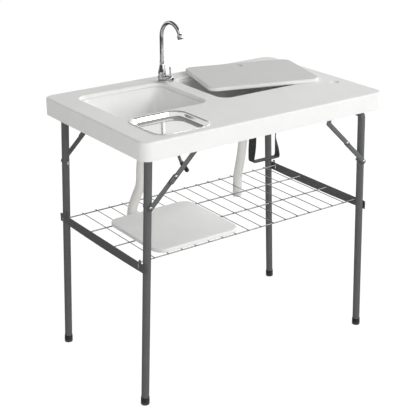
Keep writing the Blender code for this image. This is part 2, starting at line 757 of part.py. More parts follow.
def make_tray():
    def ring(inset, z, corner):
        return lift(outline(TRAY_PLACE, TRAY_SIZE[0] - 2 * inset, TRAY_SIZE[1] - 2 * inset, corner), z)

    rest = TABLE_HEIGHT + GAP
    top = rest + SHEET
    floor = top - TRAY_DEPTH
    rim = TRAY_RIM
    rings = [ring(rim + 0.010, floor, 0.036), ring(rim + 0.006, floor + 0.0015, 0.040),
             ring(rim + 0.0015, top - 0.0025, 0.043), ring(rim, top, 0.044), ring(0.0004, top, 0.050),
             ring(0, rest, 0.050), ring(rim - SHEET, rest, 0.0445),
             ring(rim + 0.0015 - SHEET, top - 0.0035, 0.0435),
             ring(rim + 0.006 - SHEET, floor + 0.0010, 0.040),
             ring(rim + 0.010 - 0.0002, floor - SHEET, 0.036)]
    return loft("tray", rings, TRAY_STEEL)


# Tap

def tap_point(height):
    return Vector((*TAP_PLACE, TABLE_HEIGHT + height))


def make_tap():
    base = tap_point(0)
    socket = bore(SPOUT, 16)
    profile = [(0, 0.0545), (socket, 0.0545), (socket, 0.0660), (0.0085, 0.0660),
               (0.0092, 0.0640), (0.0120, 0.0480), (0.0135, 0.0380), (0.0140, 0.0285),
               (0.0122, 0.0260), (0.0122, 0.0085), (0.0150, 0.0068), (0.0165, 0.0045),
               (0.0165, GAP), (SHANK, GAP), (SHANK, -SHANK_LENGTH), (0, -SHANK_LENGTH)]
    body = lathe("tap_body", profile, base, CHROME, 16)
    aim = Vector((math.cos(VALVE_TURN), math.sin(VALVE_TURN), 0))
    seat = tap_point(VALVE_Z)
    barrel = rod("join_valve", seat - aim * 0.0150, seat + aim * 0.0350, 0.0095, None, 16, cutters)
    combine(body, barrel, "UNION")

    start = tap_point(0.0548)
    spring = tap_point(SPRING_Z)
    route = [start, spring - Vector((0, 0, 0.004))]
    steps = 10
    for i in range(steps + 1):
        angle = ARCH_SWEEP * i / steps
        route.append(spring + Vector((0, -ARCH * (1 - math.cos(angle)), ARCH * math.sin(angle))))
    out = Vector((0, -math.sin(ARCH_SWEEP), math.cos(ARCH_SWEEP)))
    route.append(route[-1] + out * 0.003)
    spout = soft_tube("tap_spout", route, SPOUT, CHROME, 4)
    aerator = lathe("tap_aerator",
                    [(0, 0.0175), (0.0074, 0.0175), (0.0074, 0.0145), (0.0085, 0.0145),
                     (0.0085, 0.0175), (0.0112, 0.0175), (0.0112, 0.0040), (0.0088, 0.0003),
                     (0, 0.0003)], route[-1], CHROME, 12, out)

    cap_start = seat + aim * (0.0350 + GAP)
    lever = rod("tap_lever", cap_start, cap_start + aim * 0.0150, 0.0105, CHROME, 16)
    round_edges(lever, 0.0020, 2)
    stem = cap_start + aim * 0.0050
    combine(lever, rod("join_stem", stem, stem + Vector((0, 0, 0.0450)), 0.0024, None, 10, cutters),
            "UNION")
    hole = bore(SHANK, 12)
    nut = lathe("tap_nut", [(hole, DECK_UNDER - GAP), (0.0140, DECK_UNDER - GAP),
                            (0.0140, DECK_UNDER - 0.011), (hole, DECK_UNDER - 0.011),
                            (hole, DECK_UNDER - GAP)], (*TAP_PLACE, 0), ZINC, 12)
    return body, spout, aerator, lever, nut, seat, aim


# Inlet hose with its screw connector

def make_inlet_hose():
    x, y = TAP_PLACE
    top = TABLE_HEIGHT - SHANK_LENGTH - GAP
    route = [(x, y, top - 0.008), (x + 0.009, y - 0.005, top - 0.085),
             (x + 0.030, y - 0.009, top - 0.160), (x + 0.050, y - 0.009, top - 0.220),
             (x + 0.063, y - 0.009, top - 0.256), (x + 0.0715, y - 0.009, top - 0.2798)]
    points = [Vector((x, y, top))] + smooth_route(route, 4)
    points.append(Vector((x + 0.0743, y - 0.009, top - 0.2840)))
    hose = soft_tube("inlet_hose", points, INLET_HOSE, BRAID, 3)
    way = (points[-1] - points[-2]).normalized()
    profile = [(0, -GAP), (0.0075, -GAP), (0.0075, -0.0080), (0.0100, -0.0090), (0.0100, -0.0250),
               (0.0085, -0.0260), (0.0085, -0.0500), (0.0060, -0.0540), (0.0040, -0.0540),
               (0.0040, -0.0300), (0, -0.0300)]
    connector = lathe("hose_connector", profile, points[-1], BLACK_PLASTIC, 14, -way)
    return hose, connector


# Carry strap: a loop of webbing screwed under the deck behind the front skirt

def strap_route():
    top = DECK_UNDER - GAP - STRAP_THICKNESS / 2
    return [(-0.100, top, 0), (-0.084, top, 0), (-0.073, top - 0.003, 0), (-0.068, top - 0.012, -8),
            (-0.066, top - 0.032, -38), (-0.0655, top - 0.052, -54), (-0.066, top - 0.076, -50),
            (-0.0675, top - 0.102, -28), (-0.069, top - 0.122, -13), (-0.0695, top - 0.1315, -3),
            (-0.066, top - 0.1360, 0), (-0.055, top - 0.1372, 0), (-0.010, top - 0.1378, 0),
            (0.030, top - 0.1378, 0), (0.0385, top - 0.1368, 0), (0.0412, top - 0.1320, 0),
            (0.041, top - 0.122, -4), (0.038, top - 0.100, -14), (0.034, top - 0.078, -28),
            (0.032, top - 0.060, -36), (0.032, top - 0.035, -24), (0.033, top - 0.012, -5),
            (0.038, top - 0.003, 0), (0.048, top, 0), (0.064, top, 0)]


def strap_screw_places():
    route = strap_route()
    return (route[0][0] + 0.008, route[-1][0] - 0.008)


def make_strap():
    route = strap_route()
    rings = []
    for i, (x, z, twist) in enumerate(route):
        before = route[max(i - 1, 0)]
        after = route[min(i + 1, len(route) - 1)]
        along = Vector((after[0] - before[0], 0, after[1] - before[1])).normalized()
        turn = Matrix.Rotation(math.radians(twist), 3, along)
        wide = turn @ Vector((0, 1, 0))
        thick = turn @ along.cross(Vector((0, 1, 0)))
        centre = Vector((x, STRAP_Y, z))
        rings.append([centre + wide * (STRAP_WIDTH / 2) * a + thick * (STRAP_THICKNESS / 2) * b
                      for a, b in ((-1, -1), (1, -1), (1, 1), (-1, 1))])
    strap = loft("carry_strap", rings, WEBBING)
    under = DECK_UNDER - GAP - STRAP_THICKNESS
    for name, x in zip(("left", "right"), strap_screw_places()):
        combine(strap, rod("cut_strap", (x, STRAP_Y, under - 0.01), (x, STRAP_Y, under + 0.01),
                           0.0025, None, 8, cutters))
        lathe(name + "_strap_screw",
              [(0, 0.0100), (0.0022, 0.0100), (0.0022, -GAP), (0.0070, -GAP), (0.0055, -0.0025),
               (0, -0.0032)], (x, STRAP_Y, under), ZINC, 12)
    return strap


# Build everything and hang the moving pieces on their axes

make_top()
for side_name in SIDES:
    make_basin(side_name)
    make_drain(side_name)
make_drain_hoses()

for side_name in SIDES:
    frame_pieces = [make_leg_frame(side_name)]
    for end_name in ENDS:
        make_hinge_block(side_name, end_name)
        frame_pieces.append(make_foot(side_name, end_name))
        low_link, high_link, brace_bolt, knee_rivet = make_brace(side_name, end_name)
        frame_pieces.append(brace_bolt)
        label = side_name + "_" + end_name
        hang([low_link], axis_empty(label + "_lower_axis", leg_pivot(side_name)))
        hang([high_link, knee_rivet], axis_empty(label + "_upper_axis", brace_anchor(side_name)))
    hang(frame_pieces, axis_empty(side_name + "_fold_axis", hinge_point(side_name)))

shelf_pieces = [make_shelf(), make_end_bar("left"), make_end_bar("right")]
hang(shelf_pieces, axis_empty("shelf_axis", (0, 0, SHELF_Z)))
hang([make_board()], axis_empty("board_axis", (*BOARD_PLACE, SHELF_Z)))
hang([make_lid()], axis_empty("lid_axis", (*LID_PLACE, TABLE_HEIGHT)))
hang([make_tray()], axis_empty("tray_axis", (*TRAY_PLACE, TABLE_HEIGHT)))

tap = make_tap()
hang([tap[1], tap[2]], axis_empty("spout_axis", tap_point(SPRING_Z)))
hang([tap[3]], axis_empty("lever_axis", tap[5]))
make_inlet_hose()
make_strap()
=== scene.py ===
# The folding cleaning table, dressed for its photograph.
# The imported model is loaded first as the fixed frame; each operator then makes one group of
# pieces, or gives a finish to the solids that already have the right shape.

import math

import bmesh
import bpy
from bpy.props import FloatProperty, FloatVectorProperty, IntProperty, PointerProperty
from mathutils import Matrix, Vector


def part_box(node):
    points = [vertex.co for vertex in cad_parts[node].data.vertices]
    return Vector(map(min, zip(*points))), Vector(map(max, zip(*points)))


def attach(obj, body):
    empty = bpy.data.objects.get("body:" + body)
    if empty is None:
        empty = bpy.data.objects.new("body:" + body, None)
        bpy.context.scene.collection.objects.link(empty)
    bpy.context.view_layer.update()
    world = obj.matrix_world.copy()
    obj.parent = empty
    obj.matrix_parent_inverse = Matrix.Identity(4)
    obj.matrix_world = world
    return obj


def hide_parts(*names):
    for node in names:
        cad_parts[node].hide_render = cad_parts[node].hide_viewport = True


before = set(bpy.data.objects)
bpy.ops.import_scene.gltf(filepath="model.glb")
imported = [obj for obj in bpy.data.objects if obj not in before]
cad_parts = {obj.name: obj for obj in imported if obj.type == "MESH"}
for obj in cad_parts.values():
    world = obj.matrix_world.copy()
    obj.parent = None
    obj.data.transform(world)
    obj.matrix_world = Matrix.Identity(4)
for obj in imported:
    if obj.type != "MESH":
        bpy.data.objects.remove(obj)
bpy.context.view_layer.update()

bl_info = {
    "name": "Folding Cleaning Table",
    "version": (1, 0, 0),
    "blender": (4, 5, 0),
    "location": "3D View > Sidebar > Cleaning Table",
    "description": "Dresses a folding cleaning table with sinks, tap, shelf and braced legs",
    "category": "Object",
}

CIRCLE = 2 * math.pi

# Sizes and places that the solids share, in metres and radians

# between pieces that rest on each other
GAP = 0.0003
TOP_LOW, TOP_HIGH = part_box("table_top")
DECK = TOP_HIGH.z
DECK_UNDER = DECK - 0.018
SINK_Y = 0.090
SINK_WIDTH = 0.318
# each sink's middle and its length
SINKS = {"left": (-0.2475, 0.350), "right": (0.1985, 0.430)}
LID_SEAT = 0.012
BASIN_DEPTH = 0.140
# from a basin's inside down to its drain's lower end
DRAIN_DROP = 0.038
LID_SIZE = (0.428, 0.312)
LID_PLACE = (0.245, 0.109, 0)
LID_TURN = math.radians(-16.6)
# place and radius on the lid, before it is turned
FINGER_HOLE = (-0.0033, 0.1159, 0.0125)
DIMPLE = (0.447, -0.130, DECK)
TRAY_MIDDLE = (-0.3215, -0.1915)
TRAY_OPENING = (0.2046, 0.1986)

TAP = Vector((-0.061, 0.2455, DECK))
SHANK_DROP = 0.040
VALVE_RISE = 0.0165
VALVE_TURN = math.radians(-75)
SPOUT = 0.0070
SPRING_RISE = 0.165
ARCH = 0.062
ARCH_SWEEP = math.radians(150)

SIDES = {"left": -1, "right": 1}
ENDS = {"front": -1, "rear": 1}
FOOT_X = 0.4898
SPLAY = 0.039
TUBE = 0.0135
LEG_Y = 0.269
FRAME_BEND = 0.0145
HINGE_Z = {"left": 0.8945, "right": 0.8630}
BRACE_REACH = 0.180
LINK_WIDTH = 0.0175
# how far the upper links run on past the knee
KNEE_TAIL = {"left": 0.029, "right": 0.0150}

SHELF_Z = 0.514
LONG_WIRE = 0.00225
LONG_WIRE_PLACES = (-0.235, -0.078, 0.078, 0.235)
CROSS_WIRE = 0.0015
CROSS_REACH = 0.243
CROSS_COUNT = 16
CROSS_PITCH = 0.056
# how deep a cross wire is welded into the long ones
WELD = 0.0008
PEG = 0.003
PEG_Z = 0.507

DRAIN_HOSE = 0.0173
INLET_HOSE = 0.0060
# each drain hose's lower end, and its way there: millimetres to the right and backwards, and
# the share of its drop
DRAIN_WAYS = {
    "left": (0.480, ((0, 0, 0.03), (-4.5, 4.5, 0.15), (-7.5, 7, 0.30), (-8, 8.5, 0.42),
                     (-10, 15, 0.52), (-15.5, 28, 0.63), (-27, 37, 0.78), (-32, 39.7, 0.92),
                     (-32.5, 40, 1))),
    "right": (0.466, ((0, 0, 0.03), (0, 1, 0.12), (4, 14, 0.34), (14, 40, 0.56),
                      (21.5, 60, 0.72), (23, 64, 0.86), (23, 64, 1)))}
# the inlet hose's way from the tap's shank in millimetres, ending in a short straight run
INLET_WAY = ((0, 0, -8), (9, -5, -85), (30, -9, -160), (50, -9, -220), (63, -9, -256),
             (71.5, -9, -279.8))
INLET_END = (74.3, -9, -284)
STRAP_Y = -0.299
STRAP_SECTION = (0.025, 0.0019)
# the strap's way: along and below its highest line in millimetres, and its twist in degrees
STRAP_WAY = ((-100, 0, 0), (-84, 0, 0), (-73, 3, 0), (-68, 12, -8), (-66, 32, -38),
             (-65.5, 52, -54), (-66, 76, -50), (-67.5, 102, -28), (-69, 122, -13),
             (-69.5, 131.5, -3), (-66, 136, 0), (-55, 137.2, 0), (-10, 137.8, 0), (30, 137.8, 0),
             (38.5, 136.8, 0), (41.2, 132, 0), (41, 122, -4), (38, 100, -14), (34, 78, -28),
             (32, 60, -36), (32, 35, -24), (33, 12, -5), (38, 3, 0), (48, 0, 0), (64, 0, 0))

# Patterns of the finishes: lengths in metres, counts round a tube or across a strip

HOSE_RIB = 0.0042
BRAID_PITCH = 0.0062
BRAID_STRANDS = 8
WEFT_PITCH = 0.0017
WARP_COUNT = 26

# The photograph's view: the camera's place, its tilt and turn in degrees, and its lens

CAMERA_PLACE = (-2.099, -2.8623, 1.9477)
CAMERA_TILT = 21.974
CAMERA_TURN = -35.846
CAMERA_LENS = 90.05

# Lamps, and the cards that only reflections see: name, place, aim, size, power or shine

LAMPS = (("front", (-0.1, -4.6, 2.3), (0, 0, 0.7), (3.2, 1.6), 57),
         ("right", (14.0, -0.4, 6.4), (-0.2, 0, 0.9), (6.4, 5.0), 960),
         ("left", (-3.6, -1.4, 1.1), (0, 0, 0.7), (2.0, 1.8), 19),
         ("key", (4.8, -6.0, 5.5), (0, 0, 0.9), (3.0, 3.0), 192))
CARDS = (("left_card", (-2.6, 0.0, 0.8), (0, 0, 0.8), (6.0, 2.6), 0.08),
         ("front_card", (-1.3, -2.9, 0.8), (-0.3, 0, 0.8), (3.2, 2.6), 0.08),
         ("over_card", (-0.15, 0.95, 2.5), (-0.15, 0.95, 0), (2.7, 2.9), 0.10),
         ("floor_card", (0, 0, 0.01), (0, 0, 1), (14, 14), 0.04),
         ("bright_card", (1.9, -1.7, 0.7), (0, 0, 0.9), (1.2, 2.4), 1.2))


def hinge_point(side):
    z = HINGE_Z[side]
    return Vector((SIDES[side] * (FOOT_X - SPLAY * z), 0, z))


def leg_direction(side):
    return Vector((SIDES[side] * SPLAY, 0, -1)).normalized()


def reach_y(node):
    # how far a node's inner and outer faces stand from the table's middle plane
    return sorted(abs(corner.y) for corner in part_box(node))


# Settings

def length_setting(name, description, default):
    return FloatProperty(name=name, description=description, default=default, unit="LENGTH")


def colour_setting(name, description, default):
    return FloatVectorProperty(name=name, description=description, subtype="COLOR",
                               default=default, min=0, max=1)


class TableSizes(bpy.types.PropertyGroup):
    """Sizes of the details that the solids leave out"""

    top_edge: length_setting("Top edge", "Rounding of the top's upper edge", 0.006)
    rim_edge: length_setting("Rim edge", "Rounding of the sink rims", 0.003)
    basin_depth: length_setting("Basin depth", "From the deck to a sink's floor", BASIN_DEPTH)
    link_edge: length_setting("Link edge", "Rounding of the brace links", 0.0004)
    tube_sides: IntProperty(name="Tube sides", description="Facets round a leg tube", default=40)
    wire_sides: IntProperty(name="Wire sides", description="Facets round a shelf wire", default=12)


class TableColours(bpy.types.PropertyGroup):
    """Colours of the finishes"""

    plastic: colour_setting("Plastic", "Moulded top and sinks", (0.93, 0.93, 0.914))
    # the lid's grey is painted shade on its face; its finish lightens the edge back towards the
    # plastic's white as a painted highlight
    lid: colour_setting("Lid", "Sink lid", (0.72, 0.72, 0.71))
    board: colour_setting("Board", "Board on the shelf", (0.93, 0.93, 0.92))
    paint: colour_setting("Leg paint", "Powder coat of the legs", (0.128, 0.131, 0.130))
    bar_paint: colour_setting("Bar paint", "Paint of the shelf's end bars", (0.115, 0.116, 0.117))
    chrome: colour_setting("Chrome", "Plating of the tap", (0.60, 0.60, 0.61))
    zinc: colour_setting("Zinc", "Bolts, rivets and fittings", (0.60, 0.61, 0.62))
    wire: colour_setting("Wire", "Plating of the shelf's wires", (0.36, 0.365, 0.37))
    tray: colour_setting("Tray", "Pressed sheet of the tray", (0.82, 0.82, 0.805))
    hose: colour_setting("Hose", "Drain hoses", (0.86, 0.85, 0.815))
    braid: colour_setting("Braid", "Braid of the inlet hose", (0.36, 0.37, 0.38))
    black: colour_setting("Black plastic", "Feet, blocks and connector", (0.022, 0.022, 0.023))
    webbing: colour_setting("Webbing", "Carry strap", (0.017, 0.017, 0.018))


def sizes():
    return bpy.context.scene.cleaning_table_sizes


def colours():
    return bpy.context.scene.cleaning_table_colours


# Shader maths

class Wire:
    """A shader socket that adds Math nodes as it is used in Python sums"""

    def __init__(self, tree, socket):
        self.tree = tree
        self.socket = socket

    def _math(self, operation, first, second):
        node = self.tree.nodes.new("ShaderNodeMath")
        node.operation = operation
        for slot, value in zip(node.inputs, (first, second)):
            if isinstance(value, Wire):
                self.tree.links.new(value.socket, slot)
            else:
                slot.default_value = value
        return Wire(self.tree, node.outputs[0])

    def __add__(self, other):
        return self._math("ADD", self, other)

    def __radd__(self, other):
        return self._math("ADD", other, self)

    def __sub__(self, other):
        return self._math("SUBTRACT", self, other)

    def __mul__(self, other):
        return self._math("MULTIPLY", self, other)

    def wave(self):
        return self._math("SINE", self, 0.0)

    def part(self, name):
        # another output of the same node
        return Wire(self.tree, self.socket.node.outputs[name])


class Graph:
    """Adds nodes to a material's or a world's tree"""

    def __init__(self, tree):
        self.tree = tree

    def feed(self, socket, value):
        if isinstance(value, Wire):
            self.tree.links.new(value.socket, socket)
        else:
            socket.default_value = value

    def node(self, kind, settings=None, inputs=None, out=0):
        made = self.tree.nodes.new(kind)
        for key, value in (settings or {}).items():
            setattr(made, key, value)
        for key, value in (inputs or {}).items():
            self.feed(made.inputs[key], value)
        return Wire(self.tree, made.outputs[out])

    def shown(self):
        # 1 for the rays that see the white background, 0 for those that only carry light
        ray = self.node("ShaderNodeLightPath", out="Is Camera Ray")
        return ray + ray.part("Is Glossy Ray") + ray.part("Is Transmission Ray")


class Finish(Graph):
    """One material: constants go on the shader, patterns are wired to it"""

    def __init__(self, name, colour, metallic=0.0, roughness=0.5, **constants):
        self.material = bpy.data.materials.new(name)
        self.material.use_nodes = True
        super().__init__(self.material.node_tree)
        self.shader = self.tree.nodes["Principled BSDF"]
        self.colour = tuple(colour)
        self.put("Base Color", (*colour, 1))
        self.put("Metallic", metallic)
        self.put("Roughness", roughness)
        for socket, value in constants.items():
            self.put(socket.replace("_", " "), value)
        self.material.diffuse_color = (*colour, 1)

    def put(self, socket, value):
        self.feed(self.shader.inputs[socket], value)

    def place(self, stretch=None):
        spot = self.node("ShaderNodeTexCoord", out="Object")
        if stretch:
            spot = self.node("ShaderNodeMapping", inputs={"Vector": spot, "Scale": stretch})
        return spot

    def noise(self, scale, detail, stretch=None):
        return self.node("ShaderNodeTexNoise", inputs={
            "Vector": self.place(stretch), "Scale": scale, "Detail": detail}, out="Fac")

    def uv(self):
        # how far round a swept piece, from 0 to 1, and how far along it in metres
        spot = self.node("ShaderNodeTexCoord", out="UV")
        around = self.node("ShaderNodeSeparateXYZ", inputs={0: spot}, out="X")
        return around, around.part("Y")

    def ramp(self, value, low, high):
        # low and high are (place, shade) pairs
        made = self.node("ShaderNodeValToRGB", inputs={"Fac": value}, out="Color")
        for element, (place, shade) in zip(made.socket.node.color_ramp.elements, (low, high)):
            element.position = place
            element.color = (shade, shade, shade, 1)
        return made

    def tint(self, mask, dark, light):
        # the base colour runs from dark to light times the finish's own colour
        self.put("Base Color", self.node("ShaderNodeMix", {"data_type": "RGBA"}, {
            0: mask, 6: (*[c * dark for c in self.colour], 1),
            7: (*[min(c * light, 1) for c in self.colour], 1)}, 2))

    def bump(self, height, distance, strength):
        self.put("Normal", self.node("ShaderNodeBump", inputs={
            "Height": height, "Distance": distance, "Strength": strength}, out="Normal"))


FINISHES = {}


def make_finishes():
    tone = colours()
    for key in ("plastic", "lid", "board"):
        plastic = Finish("moulded_" + key, getattr(tone, key), 0, 0.42, Specular_IOR_Level=0.4)
        mottle = plastic.ramp(plastic.noise(9, 3), (0.3, 0.0), (0.7, 1.0))
        if key == "lid":
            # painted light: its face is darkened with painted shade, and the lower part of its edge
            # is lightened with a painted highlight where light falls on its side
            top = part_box("right_lid")[1].z
            height = plastic.node("ShaderNodeSeparateXYZ", inputs={0: plastic.place()}, out="Z")
            painted_edge_light = plastic.ramp((height - (top - 0.005)) * 200, (0.25, 1.0), (0.95, 0.0))
            plastic.tint(painted_edge_light + mottle * 0.06, 0.98, 1.29)
        else:
            plastic.tint(mottle, 0.975, 1.015)
        grain = plastic.noise(1400, 2)
        scuff = plastic.noise(60, 3, (1.0, 14.0, 1.0))
        plastic.put("Roughness", 0.38 + scuff * 0.12 + grain * 0.04)
        plastic.bump(grain + plastic.noise(220, 2) * 0.6, 0.00012, 0.35)
        FINISHES[key] = plastic.material

    for key in ("paint", "bar_paint"):
        paint = Finish("powder_coat_" + key, getattr(tone, key), 0, 0.38, Specular_IOR_Level=0.5)
        speck = paint.noise(900, 2)
        patch = paint.noise(16, 3)
        paint.tint(patch * 0.6 + speck * 0.4, 0.86, 1.14)
        paint.put("Roughness", 0.30 + speck * 0.14 + patch * 0.06)
        paint.bump(speck, 0.00010, 0.45)
        FINISHES[key] = paint.material

    chrome = Finish("chrome_plate", tone.chrome, 1.0, 0.05, Specular_Tint=(0.25, 0.25, 0.26, 1))
    smudge = chrome.noise(45, 4)
    chrome.put("Roughness", 0.03 + chrome.ramp(smudge, (0.45, 0.0), (0.75, 1.0)) * 0.09)
    chrome.tint(smudge, 0.97, 1.03)
    FINISHES["chrome"] = chrome.material

    for key in ("zinc", "wire"):
        zinc = Finish("plated_" + key, getattr(tone, key), 1.0, 0.32)
        spangle = zinc.noise(160, 3)
        zinc.tint(spangle, 0.80, 1.15)
        zinc.put("Roughness", 0.24 + spangle * 0.18)
        zinc.bump(zinc.noise(1200, 2), 0.00006, 0.4)
        FINISHES[key] = zinc.material

    tray = Finish("pressed_tray", tone.tray, 0.7)
    brush = tray.noise(420, 3, (1.0, 0.05, 1.0))
    tray.put("Roughness", 0.06 + brush * 0.03)
    tray.tint(brush, 0.98, 1.04)
    tray.bump(brush, 0.00001, 0.1)
    FINISHES["tray"] = tray.material

    hose = Finish("drain_hose", tone.hose, 0, 0.38)
    along = hose.uv()[1]
    rib = (along * (CIRCLE / HOSE_RIB)).wave()
    hose.tint(hose.noise(26, 3) * 0.5 + (rib * 0.25 + 0.25), 0.93, 1.04)
    hose.put("Roughness", 0.32 + hose.noise(300, 2) * 0.12)
    hose.bump(rib * 0.5 + 0.5, 0.0005, 0.5)
    FINISHES["hose"] = hose.material

    braid = Finish("braid", tone.braid, 0.75, 0.4)
    around, along = braid.uv()
    one = (around * (CIRCLE * BRAID_STRANDS) + along * (CIRCLE / BRAID_PITCH)).wave()
    two = (around * (CIRCLE * BRAID_STRANDS) - along * (CIRCLE / BRAID_PITCH)).wave()
    strand = one * two * 0.5 + 0.5
    braid.tint(strand, 0.45, 1.35)
    braid.put("Roughness", 0.30 + strand * 0.2)
    braid.bump(strand, 0.0005, 0.7)
    FINISHES["braid"] = braid.material

    black = Finish("black_plastic", tone.black, 0, 0.42)
    grain = black.noise(1100, 2)
    black.tint(black.noise(30, 3), 0.8, 1.5)
    black.put("Roughness", 0.36 + grain * 0.16)
    black.bump(grain, 0.00012, 0.4)
    FINISHES["black"] = black.material

    webbing = Finish("webbing", tone.webbing, 0, 0.8, Sheen_Weight=0.25)
    around, along = webbing.uv()
    weft = (along * (CIRCLE / WEFT_PITCH)).wave()
    warp = (around * (CIRCLE * WARP_COUNT)).wave()
    weave = weft * warp * 0.5 + 0.5
    webbing.tint(weave * 0.7 + webbing.noise(90, 2) * 0.3, 0.6, 2.0)
    webbing.bump(weave, 0.0004, 0.8)
    FINISHES["webbing"] = webbing.material


# Mesh tools

def add_object(name, data):
    made = bpy.data.objects.new(name, data)
    bpy.context.scene.collection.objects.link(made)
    return made


def mesh_object(name, shape, material):
    mesh = bpy.data.meshes.new(name)
    shape.to_mesh(mesh)
    shape.free()
    mesh.materials.append(material)
    return add_object(name, mesh)


def finish_piece(name, shape, finish, body, slot, sharp, *stands_for, weighted=False):
    # merges doubled points, smooths edges under the sharp angle and hangs it on its body
    bmesh.ops.remove_doubles(shape, verts=shape.verts[:], dist=0.000005)
    bmesh.ops.recalc_face_normals(shape, faces=shape.faces[:])
    for face in shape.faces:
        face.smooth = True
    for edge in shape.edges:
        if len(edge.link_faces) == 2:
            edge.smooth = edge.calc_face_angle(0) < math.radians(sharp)
    made = mesh_object(name, shape, FINISHES[finish])
    if weighted:
        even = made.modifiers.new("even_normals", "WEIGHTED_NORMAL")
        even.keep_sharp = True
        even.weight = 80
    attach(made, body)
    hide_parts(*stands_for)
    return made


def dress(finish, *names):
    # gives a finish to solids whose shape is already right
    for name in names:
        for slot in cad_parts[name].material_slots:
            slot.material = FINISHES[finish]


def mm(*pairs, at=(0, 0)):
    # pairs in millimetres (radius or inset, height), taken from a point in metres
    return [(at[0] + across / 1000, at[1] + up / 1000) for across, up in pairs]


def quarter(radius, count):
    # a quarter circle from (0, 0), which is left out, to (radius, radius), sideways first
    angles = [math.pi / 2 * i / count for i in range(1, count + 1)]
    return [(radius * math.sin(angle), radius * (1 - math.cos(angle))) for angle in angles]


def turn_to(way):
    return Vector((0, 0, 1)).rotation_difference(Vector(way)).to_matrix().to_4x4()


def move_all(shape, matrix):
    bmesh.ops.transform(shape, matrix=matrix, verts=shape.verts[:])


def rounded_face(shape, centre, size, corner, z, segments):
    # a rectangle whose corners are bevelled round
    made = bmesh.ops.create_grid(shape, x_segments=1, y_segments=1, size=0.5)
    bmesh.ops.scale(shape, vec=(*size, 1), verts=made["verts"])
    bmesh.ops.translate(shape, vec=(*centre, z), verts=made["verts"])
    bent = bmesh.ops.bevel(shape, geom=made["verts"], offset=corner, offset_type="OFFSET",
                           segments=segments, profile=0.5, affect="VERTICES", material=-1,
                           clamp_overlap=True)
    faces = {f for v in bent["verts"] for f in v.link_faces}
    return max(faces, key=lambda f: f.calc_area())


def round_face(shape, centre, radius, segments=32):
    made = bmesh.ops.create_circle(shape, cap_ends=True, radius=radius, segments=segments)
    bmesh.ops.translate(shape, vec=centre, verts=made["verts"])
    return made["verts"][0].link_faces[0]


def push(shape, face, rise, scale=(1, 1)):
    # draws a face up and scales it, leaving the side walls behind
    middle = face.calc_center_bounds()
    made = bmesh.ops.extrude_face_region(shape, geom=[face])
    bmesh.ops.delete(shape, geom=[face], context="FACES_ONLY")
    new = next(g for g in made["geom"] if isinstance(g, bmesh.types.BMFace))
    bmesh.ops.translate(shape, vec=-middle, verts=new.verts[:])
    bmesh.ops.scale(shape, vec=(*scale, 1), verts=new.verts[:])
    bmesh.ops.translate(shape, vec=middle + Vector((0, 0, rise)), verts=new.verts[:])
    return new


def press(shape, face, size, steps):
    # a run of pushes; each step is (inset from the first outline, height)
    before, height = 0.0, face.calc_center_bounds().z
    for inset, z in steps:
        scale = [(s - 2 * inset) / (s - 2 * before) for s in size]
        face = push(shape, face, z - height, scale)
        before, height = inset, z
    return face


def open_face(shape, face):
    # keeps the outline of a face and drops its skin
    edges = face.edges[:]
    bmesh.ops.delete(shape, geom=[face], context="FACES_ONLY")
    return edges


def fill_between(shape, loops, normal):
    edges = [edge for loop in loops for edge in loop]
    bmesh.ops.triangle_fill(shape, use_beauty=True, use_dissolve=False, edges=edges, normal=normal)


def lathe(shape, profile, place, axis=(0, 0, 1), steps=48):
    # profile points are (radius, height) along the axis
    others = set(shape.verts)
    points = [shape.verts.new((radius, 0, height)) for radius, height in profile]
    edges = [shape.edges.new(pair) for pair in zip(points, points[1:])]
    bmesh.ops.spin(shape, geom=points + edges, cent=(0, 0, 0), axis=(0, 0, 1),
                   dvec=(0, 0, 0), angle=CIRCLE, steps=steps, use_merge=True)
    verts = [v for v in shape.verts if v not in others]
    matrix = Matrix.Translation(place) @ turn_to(axis)
    bmesh.ops.transform(shape, matrix=matrix, verts=verts)
    bmesh.ops.remove_doubles(shape, verts=verts, dist=0.000002)


def bar(shape, start, end, radius, sides):
    start, end = Vector(start), Vector(end)
    matrix = Matrix.Translation((start + end) / 2) @ turn_to(end - start)
    bmesh.ops.create_cone(shape, cap_ends=True, segments=sides, radius1=radius, radius2=radius,
                          depth=(end - start).length, matrix=matrix)


def path_frames(points, first_side, twists):
    # a frame at each point of a path, its Z along the path and its X carried without twist
    frames = []
    side = Vector(first_side)
    for i, point in enumerate(points):
        into = (point - points[i - 1]).normalized() if i else Vector()
        out = (points[i + 1] - point).normalized() if i < len(points) - 1 else Vector()
        along = (into + out).normalized()
        side = (side - along * side.dot(along)).normalized()
        across = side
        if twists:
            across = Matrix.Rotation(math.radians(twists[i]), 3, along) @ side
        turn = Matrix((across, along.cross(across), along)).transposed().to_4x4()
        frames.append(Matrix.Translation(point) @ turn)
    return frames


